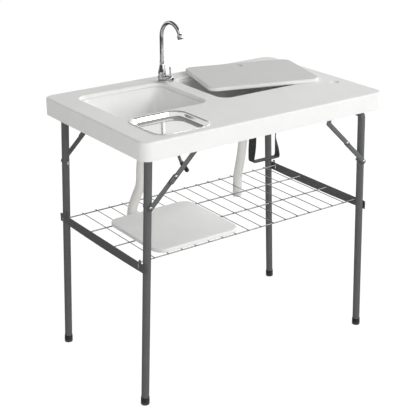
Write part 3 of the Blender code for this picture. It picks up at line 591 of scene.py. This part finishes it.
def sweep(shape, points, radius, sides, first_side=(1, 0, 0), twists=None, flat=None):
    # extrudes a ring along a path and lays a UV map: round it, and along it in metres;
    # the radius may be a list, and a flat strip has its width and thickness instead
    points = [Vector(p) for p in points]
    radii = radius if isinstance(radius, list) else [radius] * len(points)
    frames = path_frames(points, first_side, twists)
    ring = bmesh.ops.create_circle(shape, cap_ends=False, radius=1.0, segments=sides)["verts"]
    width = depth = radii[0]
    if flat:
        spin = Matrix.Rotation(math.pi / sides, 3, "Z")
        bmesh.ops.rotate(shape, cent=(0, 0, 0), matrix=spin, verts=ring)
        width, depth = (side / 2 / math.cos(math.pi / sides) for side in flat)
    bmesh.ops.scale(shape, vec=(width, depth, 1), verts=ring)
    bmesh.ops.transform(shape, matrix=frames[0], verts=ring)
    layer = shape.loops.layers.uv.get("UVMap") or shape.loops.layers.uv.new("UVMap")
    edges = list(dict.fromkeys(e for v in ring for e in v.link_edges))
    around = {v: i / sides for i, v in enumerate(ring)}
    first_edges = edges
    run = 0.0
    for i in range(1, len(points)):
        step = (points[i] - points[i - 1]).length
        made = bmesh.ops.extrude_edge_only(shape, edges=edges)["geom"]
        verts = [g for g in made if isinstance(g, bmesh.types.BMVert)]
        new_around = {v: around[e.other_vert(v)] for v in verts for e in v.link_edges
                      if e.other_vert(v) in around}
        grow = radii[i] / radii[i - 1]
        change = frames[i] @ Matrix.Diagonal((grow, grow, 1, 1)) @ frames[i - 1].inverted()
        bmesh.ops.transform(shape, matrix=change, verts=verts)
        both = {**around, **new_around}
        for face in [g for g in made if isinstance(g, bmesh.types.BMFace)]:
            most = max(both[v] for v in face.verts)
            for loop in face.loops:
                u = both[loop.vert]
                v = run + step if loop.vert in new_around else run
                loop[layer].uv = (u + 1 if most - u > 0.5 else u, v)
        run += step
        around = new_around
        edges = [g for g in made if isinstance(g, bmesh.types.BMEdge)
                 and all(v in new_around for v in g.verts)]
    for loop in (first_edges, edges):
        bmesh.ops.holes_fill(shape, edges=loop, sides=0)


def smooth_route(points, pieces):
    # the same smooth curve that the solids follow
    route = [Vector(p) for p in points]
    ends = [route[0] * 2 - route[1]] + route + [route[-1] * 2 - route[-2]]
    out = []
    for i in range(1, len(ends) - 2):
        a, b, c, d = ends[i - 1:i + 3]
        for step in range(pieces):
            t = step / pieces
            out.append(0.5 * (2 * b + (c - a) * t + (2 * a - 5 * b + 4 * c - d) * t * t
                              + (3 * b - a - 3 * c + d) * t ** 3))
    out.append(route[-1])
    return out


def route_length(points):
    return sum((b - a).length for a, b in zip(points, points[1:]))


# Operators

class CLEANING_OT_stage(bpy.types.Operator):
    """Camera, floor, world and soft studio lamps"""

    bl_idname = "cleaning.stage"
    bl_label = "Stage"

    def execute(self, context):
        scene = context.scene
        scene.view_settings.view_transform = "Standard"
        lens = bpy.data.cameras.new("camera")
        lens.sensor_width = 36
        lens.lens = CAMERA_LENS
        lens.clip_start = 0.05
        lens.clip_end = 60
        camera = add_object("camera", lens)
        camera.location = CAMERA_PLACE
        camera.rotation_euler = (math.radians(90 - CAMERA_TILT), 0, math.radians(CAMERA_TURN))
        scene.camera = camera

        world = bpy.data.worlds.new("studio")
        world.use_nodes = True
        scene.world = world
        sky = Graph(world.node_tree)
        back = world.node_tree.nodes["Background"]
        sky.feed(back.inputs["Color"], (1, 1, 1, 1))
        sky.feed(back.inputs["Strength"], sky.shown() * 0.64 + 0.36)

        # the floor is white, with a share of the table's shadow
        cloth = Finish("floor_white", (0.9, 0.9, 0.9), 0, 0.9)
        glow = cloth.node("ShaderNodeEmission", inputs={"Strength": 1.24})
        blend = cloth.node("ShaderNodeMixShader", inputs={
            0: cloth.shown() * 0.70, 1: Wire(cloth.tree, cloth.shader.outputs[0]), 2: glow})
        surface = next(n for n in cloth.tree.nodes if n.type == "OUTPUT_MATERIAL")
        cloth.feed(surface.inputs["Surface"], blend)

        def sheet(name, place, aim, size, material):
            shape = bmesh.new()
            bmesh.ops.create_grid(shape, x_segments=1, y_segments=1, size=0.5)
            bmesh.ops.scale(shape, vec=(*size, 1), verts=shape.verts[:])
            turn = (Vector(aim) - Vector(place)).to_track_quat("Z", "Y").to_matrix().to_4x4()
            move_all(shape, Matrix.Translation(place) @ turn)
            made = mesh_object(name, shape, material)
            return made

        sheet("floor", (0, 0, 0), (0, 0, 1), (28, 28), cloth.material)
        for name, place, aim, size, shine in CARDS:
            tone = Finish(name, (0.015, 0.015, 0.015), 0, 1.0, Emission_Color=(1, 1, 1, 1),
                          Emission_Strength=shine)
            card = sheet(name, place, aim, size, tone.material)
            card.visible_camera = card.visible_diffuse = False
            card.visible_transmission = card.visible_shadow = False

        for name, place, aim, size, power in LAMPS:
            light = bpy.data.lights.new(name, "AREA")
            light.shape = "RECTANGLE"
            light.size, light.size_y = size
            light.energy = power
            made = add_object(name, light)
            made.location = place
            made.rotation_euler = (Vector(aim) - Vector(place)).to_track_quat("-Z", "Y").to_euler()
        return {"FINISHED"}


def press_sink(shape, middle, length, size):
    # one sink: rim, lid seat and basin from above, and the basin's outside from below
    rim = size.rim_edge
    floor = DECK - size.basin_depth
    seat = DECK - LID_SEAT
    wall = rim + 0.012
    outline = (length + 2 * rim, SINK_WIDTH + 2 * rim)
    face = rounded_face(shape, (middle, SINK_Y), outline, 0.043, DECK, 10)
    loop = face.edges[:]
    steps = [(out, DECK - down) for out, down in quarter(rim, 4)]
    steps += mm((0.3, 2), (1, 0.5), (2.5, 0), (8.5, 0), at=(rim, seat))
    steps += [(rim + 0.0085 + out, seat - down) for out, down in quarter(0.0035, 4)]
    steps += mm((3, -20), at=(wall, seat)) + mm((21, 34), at=(wall, floor))
    steps += [(wall + 0.021 + 0.001 * i + 0.016 * down, floor + 0.034 * (1 - out))
              for i, (out, down) in enumerate(quarter(1, 6), 1)]
    steps += mm((70, -1), (105, -3.2), at=(wall, floor))
    press(shape, face, outline, steps)

    outer = (length - 0.018, SINK_WIDTH - 0.018)
    below = rounded_face(shape, (middle, SINK_Y), outer, 0.034, DECK_UNDER, 10)
    under_loop = below.edges[:]
    press(shape, below, outer, mm((0.6, -1), (2.5, -4), at=(0, DECK_UNDER))
          + mm((21, 34), (26.5, 15), (35, 2), (46, -3), (105, -7.5), at=(0, floor)))
    return loop, under_loop


class CLEANING_OT_moulded_top(bpy.types.Operator):
    """The top with its skirt, sinks, lid seats, tray opening and dimple, as one moulding"""

    bl_idname = "cleaning.moulded_top"
    bl_label = "Moulded top"

    def execute(self, context):
        size = sizes()
        edge = size.top_edge
        low = TOP_LOW.z
        shape = bmesh.new()

        # the skirt, from the deck's outline down and round its lower edge
        outline = (TOP_HIGH.x - TOP_LOW.x - 2 * edge, TOP_HIGH.y - TOP_LOW.y - 2 * edge)
        deck = rounded_face(shape, (0, 0), outline, 0.032, DECK, 12)
        loops = [deck.edges[:]]
        steps = [(-out, DECK - down) for out, down in quarter(edge, 5)]
        steps += mm((0, -20), at=(-edge, DECK))
        steps += mm((0, 1.5), (0.6, 0.4), (1.5, 0), (7.8, 0), (8.8, 0.8), (9, 3), at=(-edge, low))
        steps += mm((9, -4), (10, -1), (13, 0), at=(-edge, DECK_UNDER))
        under_loops = [open_face(shape, press(shape, deck, outline, steps))]

        for middle, length in SINKS.values():
            loop, under_loop = press_sink(shape, middle, length, size)
            loops.append(loop)
            under_loops.append(under_loop)

        # the tray's opening goes right through
        face = rounded_face(shape, TRAY_MIDDLE, TRAY_OPENING, 0.0445, DECK, 8)
        loops.append(face.edges[:])
        face = press(shape, face, TRAY_OPENING, [(0, DECK_UNDER)])
        under_loops.append(open_face(shape, face))

        # the shallow dimple by the right end, its radius and depth at each ring
        radius, depth = 0.0185, 0
        face = round_face(shape, DIMPLE, radius)
        loops.append(face.edges[:])
        for inner, drop in mm((17.5, 0.2), (16.2, 0.8), (14, 1.8), (10.5, 3), (6, 3.9), (2.5, 4.2)):
            face = push(shape, face, depth - drop, (inner / radius, inner / radius))
            radius, depth = inner, drop

        fill_between(shape, loops, (0, 0, 1))
        fill_between(shape, under_loops, (0, 0, -1))
        finish_piece("moulded_top", shape, "plastic", "table", "top_plastic", 50,
                     "table_top", "left_sink", "right_sink", weighted=True)
        return {"FINISHED"}


def plate(shape, size, corner, low, high, edge, hole=None):
    # a flat plate with a round edge, with one round hole if asked
    outline = (size[0] - 2 * edge, size[1] - 2 * edge)
    face = rounded_face(shape, (0, 0), outline, corner - edge, low, 10)
    loops = [face.edges[:]]
    bend = quarter(edge, 4)
    steps = [(-out, low + up) for out, up in bend]
    steps += [(-out, high - down) for out, down in reversed(bend)] + [(0, high)]
    top_loops = [open_face(shape, press(shape, face, outline, steps))]
    if hole:
        x, y, radius = hole
        mouth, bevel = radius + 0.001, 0.0007
        ring = round_face(shape, (x, y, low), mouth)
        loops.append(ring.edges[:])
        ring = push(shape, ring, bevel, (radius / mouth, radius / mouth))
        ring = push(shape, ring, high - low - 2 * bevel)
        ring = push(shape, ring, bevel, (mouth / radius, mouth / radius))
        top_loops.append(open_face(shape, ring))
    fill_between(shape, loops, (0, 0, -1))
    fill_between(shape, top_loops, (0, 0, 1))


class CLEANING_OT_boards(bpy.types.Operator):
    """The sink lid on the table and the board on the shelf"""

    bl_idname = "cleaning.boards"
    bl_label = "Lid and board"

    def execute(self, context):
        low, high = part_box("right_lid")
        shape = bmesh.new()
        plate(shape, LID_SIZE, 0.036, low.z, high.z, 0.004, FINGER_HOLE)
        move_all(shape, Matrix.Translation(LID_PLACE) @ Matrix.Rotation(LID_TURN, 4, "Z"))
        finish_piece("sink_lid", shape, "lid", "lid", "top_plastic", 50, "right_lid",
                     weighted=True)
        low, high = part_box("shelf_board")
        shape = bmesh.new()
        plate(shape, (high.x - low.x, high.y - low.y), 0.045, low.z, high.z, 0.0035)
        move_all(shape, Matrix.Translation(((low.x + high.x) / 2, (low.y + high.y) / 2, 0)))
        finish_piece("cutting_board", shape, "board", "board", "top_plastic", 50, "shelf_board",
                     weighted=True)
        return {"FINISHED"}


class CLEANING_OT_tray(bpy.types.Operator):
    """The pressed tray with its rolled rim"""

    bl_idname = "cleaning.tray"
    bl_label = "Tray"

    def execute(self, context):
        low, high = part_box("tray")
        middle = ((low.x + high.x) / 2, (low.y + high.y) / 2)
        outline = (high.x - low.x - 0.010, high.y - low.y - 0.010)
        rim, top, floor = (0, DECK + GAP), (0, high.z), (0, low.z)
        inside = mm((-4.6, 0), (-5, 0.6), (-4.8, 1.6), (-4, 2.2), (-2.8, 2), (-1.8, 1),
                    (-0.6, 0.8), (1.2, 0.8), at=rim)
        inside += mm((2.4, -1.4), (3.6, -4), at=top)
        inside += mm((7, 6), (8.6, 3), (11.2, 1.4), (15, 0.8), (30, 0.8), at=floor)
        outside = mm((0.4, -0.6), at=rim) + mm((2.8, -4.8), at=top)
        outside += mm((6.2, 5.2), (8, 2), (10.8, 0.4), (15, 0), at=floor)
        shape = bmesh.new()
        # both skins start on the same outline, and are merged there
        for steps in (inside, outside):
            face = rounded_face(shape, middle, outline, 0.045, rim[1], 10)
            press(shape, face, outline, steps)
        finish_piece("pressed_tray", shape, "tray", "tray", "tray_steel", 60, "tray")
        return {"FINISHED"}


class CLEANING_OT_tap(bpy.types.Operator):
    """Tap body with its side valve, the swan neck, the aerator and the lever"""

    bl_idname = "cleaning.tap"
    bl_label = "Tap"

    def execute(self, context):
        up = Vector((0, 0, 1))
        shape = bmesh.new()
        profile = mm((0, 66.2), (7.8, 66.2), (8.4, 65.6), (8.8, 64), (9.4, 61), (10.8, 54),
                     (12.1, 48), (13.1, 42), (13.8, 36), (14, 31), (13.6, 27), (12.4, 24),
                     (11.8, 18), (11.8, 10), (12.6, 9.2), (14.8, 8.4), (15.6, 7.2), (15, 6.2),
                     (14.2, 5.8), (15.6, 5.2), (16.6, 4.4), (16.8, 2.2), (16.4, 0.4), (10, 0.3))
        # the thread below the deck
        for i in range(14):
            profile += mm((10, 0), (9.3, -0.4), (9.3, -0.9), (10, -1.3),
                          at=(0, -0.018 - 0.0015 * i))
        profile += [(0.0098, -SHANK_DROP), (0, -SHANK_DROP)]
        lathe(shape, profile, TAP, steps=64)
        seat = TAP + up * VALVE_RISE
        aim = Vector((math.cos(VALVE_TURN), math.sin(VALVE_TURN), 0))
        barrel = mm((0, 35), (9.2, 35), (9.8, 34), (9.6, 28), (8.8, 27), (8.8, 25), (9.5, 24),
                    (9.5, -10), (9.3, -12.8), (8, -14.6), (5, -15.6), (0, -15.8))
        lathe(shape, barrel, seat, aim, 56)
        finish_piece("tap_casting", shape, "chrome", "table", "chrome", 42, "tap_body")

        spring = TAP + up * SPRING_RISE
        route = [TAP + up * rise for rise in (0.060, 0.080, 0.120, SPRING_RISE - 0.005)]
        for i in range(41):
            angle = ARCH_SWEEP * i / 40
            route.append(spring + Vector((0, math.cos(angle) - 1, math.sin(angle))) * ARCH)
        mouth = route[-1]
        out = Vector((0, -math.sin(ARCH_SWEEP), math.cos(ARCH_SWEEP)))
        route.append(mouth + out * 0.004)
        shape = bmesh.new()
        sweep(shape, route, SPOUT, 40)
        collar = mm((0, 79.2), (7.1, 79.2), (7.9, 78.8), (8, 77.6), (8, 70), (7.4, 69),
                    (7.4, 66.4), (0, 66.4))
        lathe(shape, collar, TAP)
        finish_piece("swan_neck", shape, "chrome", "spout", "chrome", 42, "tap_spout")

        shape = bmesh.new()
        profile = mm((0, 13.6), (7.6, 13.6), (7.8, 17), (8.8, 17.7), (10.2, 17.5), (11.1, 16.8),
                     (11.2, 15.7), (11.2, 15), (10.6, 14.5), (10.6, 13.8), (11.2, 13.2),
                     (11.3, 7), (11, 5.4), (10.1, 4), (9.1, 2.5), (8.8, 0.6), (0, 0.3))
        lathe(shape, profile, mouth, out)
        # its knurled grip
        ribs = 28
        for i in range(ribs):
            angle = CIRCLE * i / ribs
            foot = mouth + turn_to(out) @ Vector((math.cos(angle), math.sin(angle), 0)) * 0.0112
            bar(shape, foot + out * 0.0076, foot + out * 0.0126, 0.0005, 6)
        finish_piece("aerator", shape, "chrome", "spout", "chrome", 42, "tap_aerator")

        shape = bmesh.new()
        cap = mm((0, 50.3), (5, 50.3), (7.2, 50), (9, 49), (10, 47), (10.5, 44), (10.5, 37),
                 (10.2, 35.8), (9, 35.3), (0, 35.3))
        lathe(shape, cap, seat, aim)
        # the lever's stem leans a little towards the tap
        stem = seat + aim * 0.0403
        path = [stem + up * rise - aim * lean for rise, lean in
                mm((4, 0), (11, 0.1), (21, 0.4), (31, 0.8), (39, 1), (42.8, 1.1), (44.3, 1.1),
                   (45, 1.1))]
        radii = [0.0036, 0.0033, 0.0031, 0.0032, 0.0034, 0.0034, 0.0027, 0.0010]
        sweep(shape, path, radii, 24)
        finish_piece("lever", shape, "chrome", "lever", "chrome", 42, "tap_lever")
        dress("zinc", "tap_nut")
        return {"FINISHED"}


class CLEANING_OT_leg_frames(bpy.types.Operator):
    """Bent tube frames, their shelf pegs and their foot caps"""

    bl_idname = "cleaning.leg_frames"
    bl_label = "Leg frames"

    def execute(self, context):
        for side, sign in SIDES.items():
            hinge, down = hinge_point(side), leg_direction(side)
            reach = hinge.z / math.cos(math.atan(SPLAY))
            tube = reach - 0.0043
            route = [hinge + Vector((0, -LEG_Y, 0)) + down * d for d in (tube, tube / 2)]
            for end in ENDS.values():
                centre = hinge + Vector((0, end * (LEG_Y - FRAME_BEND), 0)) + down * FRAME_BEND
                arc = [centre + Vector((0, end * (FRAME_BEND - inward), 0)) - down * rise
                       for rise, inward in [(0, 0)] + quarter(FRAME_BEND, 8)]
                route += arc if end < 0 else arc[::-1]
            route += [hinge + Vector((0, LEG_Y, 0)) + down * d for d in (tube / 2, tube)]
            shape = bmesh.new()
            sweep(shape, route, TUBE, sizes().tube_sides)
            face_x = FOOT_X - SPLAY * PEG_Z + TUBE
            for end in ENDS.values():
                bar(shape, (sign * (face_x - 0.002), end * LEG_Y, PEG_Z),
                    (sign * (face_x + 0.0038), end * LEG_Y, PEG_Z), PEG, 24)
            finish_piece(side + "_frame_tube", shape, "paint", side + "_legs", "leg_paint", 50,
                         side + "_leg_frame")
            for name, end in ENDS.items():
                shape = bmesh.new()
                foot = hinge + Vector((0, end * LEG_Y, 0)) + down * reach
                profile = mm((0, 26.2), (13.55, 26.2), (13.9, 26.6), (14.6, 26.6), (15, 26),
                             (15, 22.5), (14.6, 22), (14.6, 20.5), (15, 20), (15.1, 6),
                             (15.3, 4.5), (15.3, 3), (15, 0.8), (14, -1.6), (0, -1.6))
                lathe(shape, profile, foot, -down, 40)
                # the sole is cut level with the ground
                bmesh.ops.bisect_plane(shape, geom=shape.verts[:] + shape.edges[:]
                                       + shape.faces[:], plane_co=(0, 0, 0), plane_no=(0, 0, -1),
                                       clear_outer=True)
                rims = [e for e in shape.edges if e.is_boundary]
                bmesh.ops.holes_fill(shape, edges=rims, sides=0)
                label = side + "_" + name
                finish_piece(label + "_foot_cap", shape, "black", side + "_legs",
                             "black_plastic", 42, label + "_foot")
                dress("black", label + "_hinge_block")
        return {"FINISHED"}


def flat_link(shape, start, knee, tail, node, end, hole_inset=None):
    # a flat bar with round ends in the plane of the fold, from a node's inner to its outer face;
    # it may have a small hole near its far end
    edge = sizes().link_edge
    inner, outer = reach_y(node)
    deep = outer - inner
    along = (knee - start).normalized()
    length = (knee - start).length + LINK_WIDTH / 2 + tail
    middle = start + along * (length - LINK_WIDTH) / 2
    outline = (length - 2 * edge, LINK_WIDTH - 2 * edge)
    # the corners stop just short of meeting, which leaves each end a short straight edge
    face = rounded_face(shape, (0, 0), outline, LINK_WIDTH / 2 - edge - 0.00002, 0, 8)
    loops = [face.edges[:]]
    steps = [(-edge * 0.7, edge * 0.3), (-edge, edge), (-edge, deep - edge),
             (-edge * 0.7, deep - edge * 0.3), (0, deep)]
    top_loops = [open_face(shape, press(shape, face, outline, steps))]
    if hole_inset:
        ring = round_face(shape, (length / 2 - hole_inset, 0, 0), 0.0019, 20)
        loops.append(ring.edges[:])
        top_loops.append(open_face(shape, push(shape, ring, deep)))
    fill_between(shape, loops, (0, 0, -1))
    fill_between(shape, top_loops, (0, 0, 1))
    out = Vector((0, end, 0))
    turn = Matrix((along, out.cross(along), out)).transposed().to_4x4()
    move_all(shape, Matrix.Translation((middle.x, end * inner, middle.z)) @ turn)


class CLEANING_OT_braces(bpy.types.Operator):
    """Folding braces: links, brackets, leg bolts and knee rivets"""

    bl_idname = "cleaning.braces"
    bl_label = "Braces"

    def execute(self, context):
        for side, name in [(side, name) for side in SIDES for name in ENDS]:
            label = side + "_" + name
            end = ENDS[name]
            out = (0, end, 0)
            hinge = hinge_point(side)
            pivot = hinge + leg_direction(side) * BRACE_REACH
            anchor = hinge - Vector((SIDES[side] * BRACE_REACH, 0, 0))
            knee = (pivot + anchor) / 2
            for link, start, tail, hole_inset in (("_lower", pivot, 0.0090, None),
                                                  ("_upper", anchor, KNEE_TAIL[side], 0.0055)):
                shape = bmesh.new()
                node = label + link + "_link"
                flat_link(shape, start, knee, tail, node, end, hole_inset)
                finish_piece(label + link + "_strut", shape, "paint", label + link,
                             "leg_paint", 40, node)
            shape = bmesh.new()
            face_y = reach_y(label + "_upper_link")[1] + GAP
            rivet = mm((0, 2.4), (1.8, 2.3), (3.6, 1.9), (5, 1.2), (5.8, 0.4), (6, 0), (3, 0),
                       (3, -3.1), (0, -3.1))
            lathe(shape, rivet, (knee.x, end * face_y, knee.z), out, 28)
            finish_piece(label + "_rivet_head", shape, "zinc", label + "_upper", "zinc", 42,
                         label + "_knee_rivet")
            shape = bmesh.new()
            inner, outer = reach_y(label + "_brace_bolt")
            bolt = mm((0, 0), (4.5, -0.1), (6.3, -0.5), (7, -1.2), (4, -1.2), (4, -4.8),
                      (6.5, -4.8), (6.5, -7.4), (4, -7.4), (4, -34))
            bolt += mm((4, 0.2), (3.4, 0), (0, 0), at=(0, inner - outer))
            lathe(shape, bolt, (pivot.x, end * outer, pivot.z), out, 28)
            nut = [(pivot.x, end * (inner + depth), pivot.z) for depth in (0.0006, 0.0056)]
            bar(shape, *nut, 0.0070, 6)
            finish_piece(label + "_leg_bolt", shape, "zinc", side + "_legs", "zinc", 42,
                         label + "_brace_bolt")
            dress("paint", label + "_bracket")
        return {"FINISHED"}


class CLEANING_OT_shelf(bpy.types.Operator):
    """The welded wire shelf and its end bars"""

    bl_idname = "cleaning.shelf"
    bl_label = "Wire shelf"

    def execute(self, context):
        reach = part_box("shelf_grid")[1].x
        sides = sizes().wire_sides
        shape = bmesh.new()
        for y in LONG_WIRE_PLACES:
            bar(shape, (-reach, y, SHELF_Z), (reach, y, SHELF_Z), LONG_WIRE, sides)
        z = SHELF_Z + LONG_WIRE + CROSS_WIRE - WELD
        end, shoulder = CROSS_REACH, CROSS_REACH - 0.0006
        for i in range(CROSS_COUNT):
            x = CROSS_PITCH * (i - (CROSS_COUNT - 1) / 2)
            path = [(x, y, z) for y in (-end, -shoulder, shoulder, end)]
            sweep(shape, path, [0.0009, CROSS_WIRE, CROSS_WIRE, 0.0009], sides)
        finish_piece("shelf_wires", shape, "wire", "shelf", "zinc", 60, "shelf_grid")
        dress("bar_paint", "left_end_bar", "right_end_bar")
        return {"FINISHED"}


class CLEANING_OT_drains(bpy.types.Operator):
    """Drain fittings with their strainers, and the drain hoses"""

    bl_idname = "cleaning.drains"
    bl_label = "Drains"

    def execute(self, context):
        for side, (end_z, way) in DRAIN_WAYS.items():
            dress("zinc", side + "_drain")
            x = SINKS[side][0]
            top = DECK - BASIN_DEPTH - DRAIN_DROP - GAP
            drop = top - end_z
            route = [(x + right / 1000, SINK_Y + back / 1000, top - share * drop)
                     for right, back, share in way]
            points = [Vector((x, SINK_Y, top))] + smooth_route(route, 5)
            run = route_length(points)
            shape = bmesh.new()
            sweep(shape, points, DRAIN_HOSE, 40)
            hose = finish_piece(side + "_hose", shape, "hose", "table", "hose_plastic", 50,
                                side + "_drain_hose")
        return {"FINISHED"}


class CLEANING_OT_inlet(bpy.types.Operator):
    """The braided inlet hose and its black connector"""

    bl_idname = "cleaning.inlet"
    bl_label = "Inlet hose"

    def execute(self, context):
        start = TAP - Vector((0, 0, SHANK_DROP + GAP))
        points = [start] + smooth_route([start + Vector(step) / 1000 for step in INLET_WAY], 6)
        points.append(start + Vector(INLET_END) / 1000)
        run = route_length(points)
        shape = bmesh.new()
        sweep(shape, points, INLET_HOSE, 28)
        hose = finish_piece("braided_hose", shape, "braid", "table", "braid", 50, "inlet_hose")
        shape = bmesh.new()
        profile = mm((0, 0.3), (7, 0.3), (7.6, 1.2), (7.6, 8), (9.4, 8.6), (10.1, 9.6),
                     (10.1, 24), (9.6, 25.2), (8.6, 26), (8.5, 40), (8, 41), (8, 43), (8.5, 44),
                     (8.5, 50), (7.8, 51.2), (6.4, 53), (5.6, 54), (4.2, 54), (4, 53.2), (4, 30),
                     (0, 30))
        lathe(shape, profile, points[-1], points[-1] - points[-2], 40)
        connector = finish_piece("quick_connector", shape, "black", "table", "black_plastic", 42,
                                 "hose_connector")
        return {"FINISHED"}


class CLEANING_OT_strap(bpy.types.Operator):
    """The webbing carry strap behind the front skirt"""

    bl_idname = "cleaning.strap"
    bl_label = "Carry strap"

    def execute(self, context):
        top = DECK_UNDER - GAP - 0.001
        # the twist rides along as a third coordinate, and is smoothed with the rest
        fine = smooth_route([(x / 1000, twist / 1000, top - drop / 1000)
                             for x, drop, twist in STRAP_WAY], 4)
        points = [(p.x, STRAP_Y, p.z) for p in fine]
        twists = [p.y * 1000 for p in fine]
        shape = bmesh.new()
        sweep(shape, points, 1.0, 4, (0, 1, 0), twists, STRAP_SECTION)
        finish_piece("carry_loop", shape, "webbing", "table", "webbing", 40, "carry_strap")
        dress("zinc", "left_strap_screw", "right_strap_screw")
        return {"FINISHED"}


class CLEANING_PT_panel(bpy.types.Panel):
    """Lists the table's settings and its pieces"""

    bl_label = "Cleaning Table"
    bl_idname = "CLEANING_PT_panel"
    bl_space_type = "VIEW_3D"
    bl_region_type = "UI"
    bl_category = "Cleaning Table"

    def draw(self, context):
        for group in (sizes(), colours()):
            for name in group.bl_rna.properties.keys():
                if name not in ("rna_type", "name"):
                    self.layout.prop(group, name)
        for operator in OPERATORS:
            self.layout.operator(operator.bl_idname)


OPERATORS = (CLEANING_OT_stage, CLEANING_OT_moulded_top, CLEANING_OT_boards, CLEANING_OT_tray,
             CLEANING_OT_tap, CLEANING_OT_leg_frames, CLEANING_OT_braces, CLEANING_OT_shelf,
             CLEANING_OT_drains, CLEANING_OT_inlet, CLEANING_OT_strap)
CLASSES = (TableSizes, TableColours, *OPERATORS, CLEANING_PT_panel)


def register():
    for cls in CLASSES:
        bpy.utils.register_class(cls)
    bpy.types.Scene.cleaning_table_sizes = PointerProperty(type=TableSizes)
    bpy.types.Scene.cleaning_table_colours = PointerProperty(type=TableColours)


def unregister():
    del bpy.types.Scene.cleaning_table_sizes
    del bpy.types.Scene.cleaning_table_colours
    for cls in reversed(CLASSES):
        bpy.utils.unregister_class(cls)


def main():
    register()
    make_finishes()
    for operator in OPERATORS:
        group, name = operator.bl_idname.split(".")
        getattr(getattr(bpy.ops, group), name)()


if __name__ == "__main__":
    main()
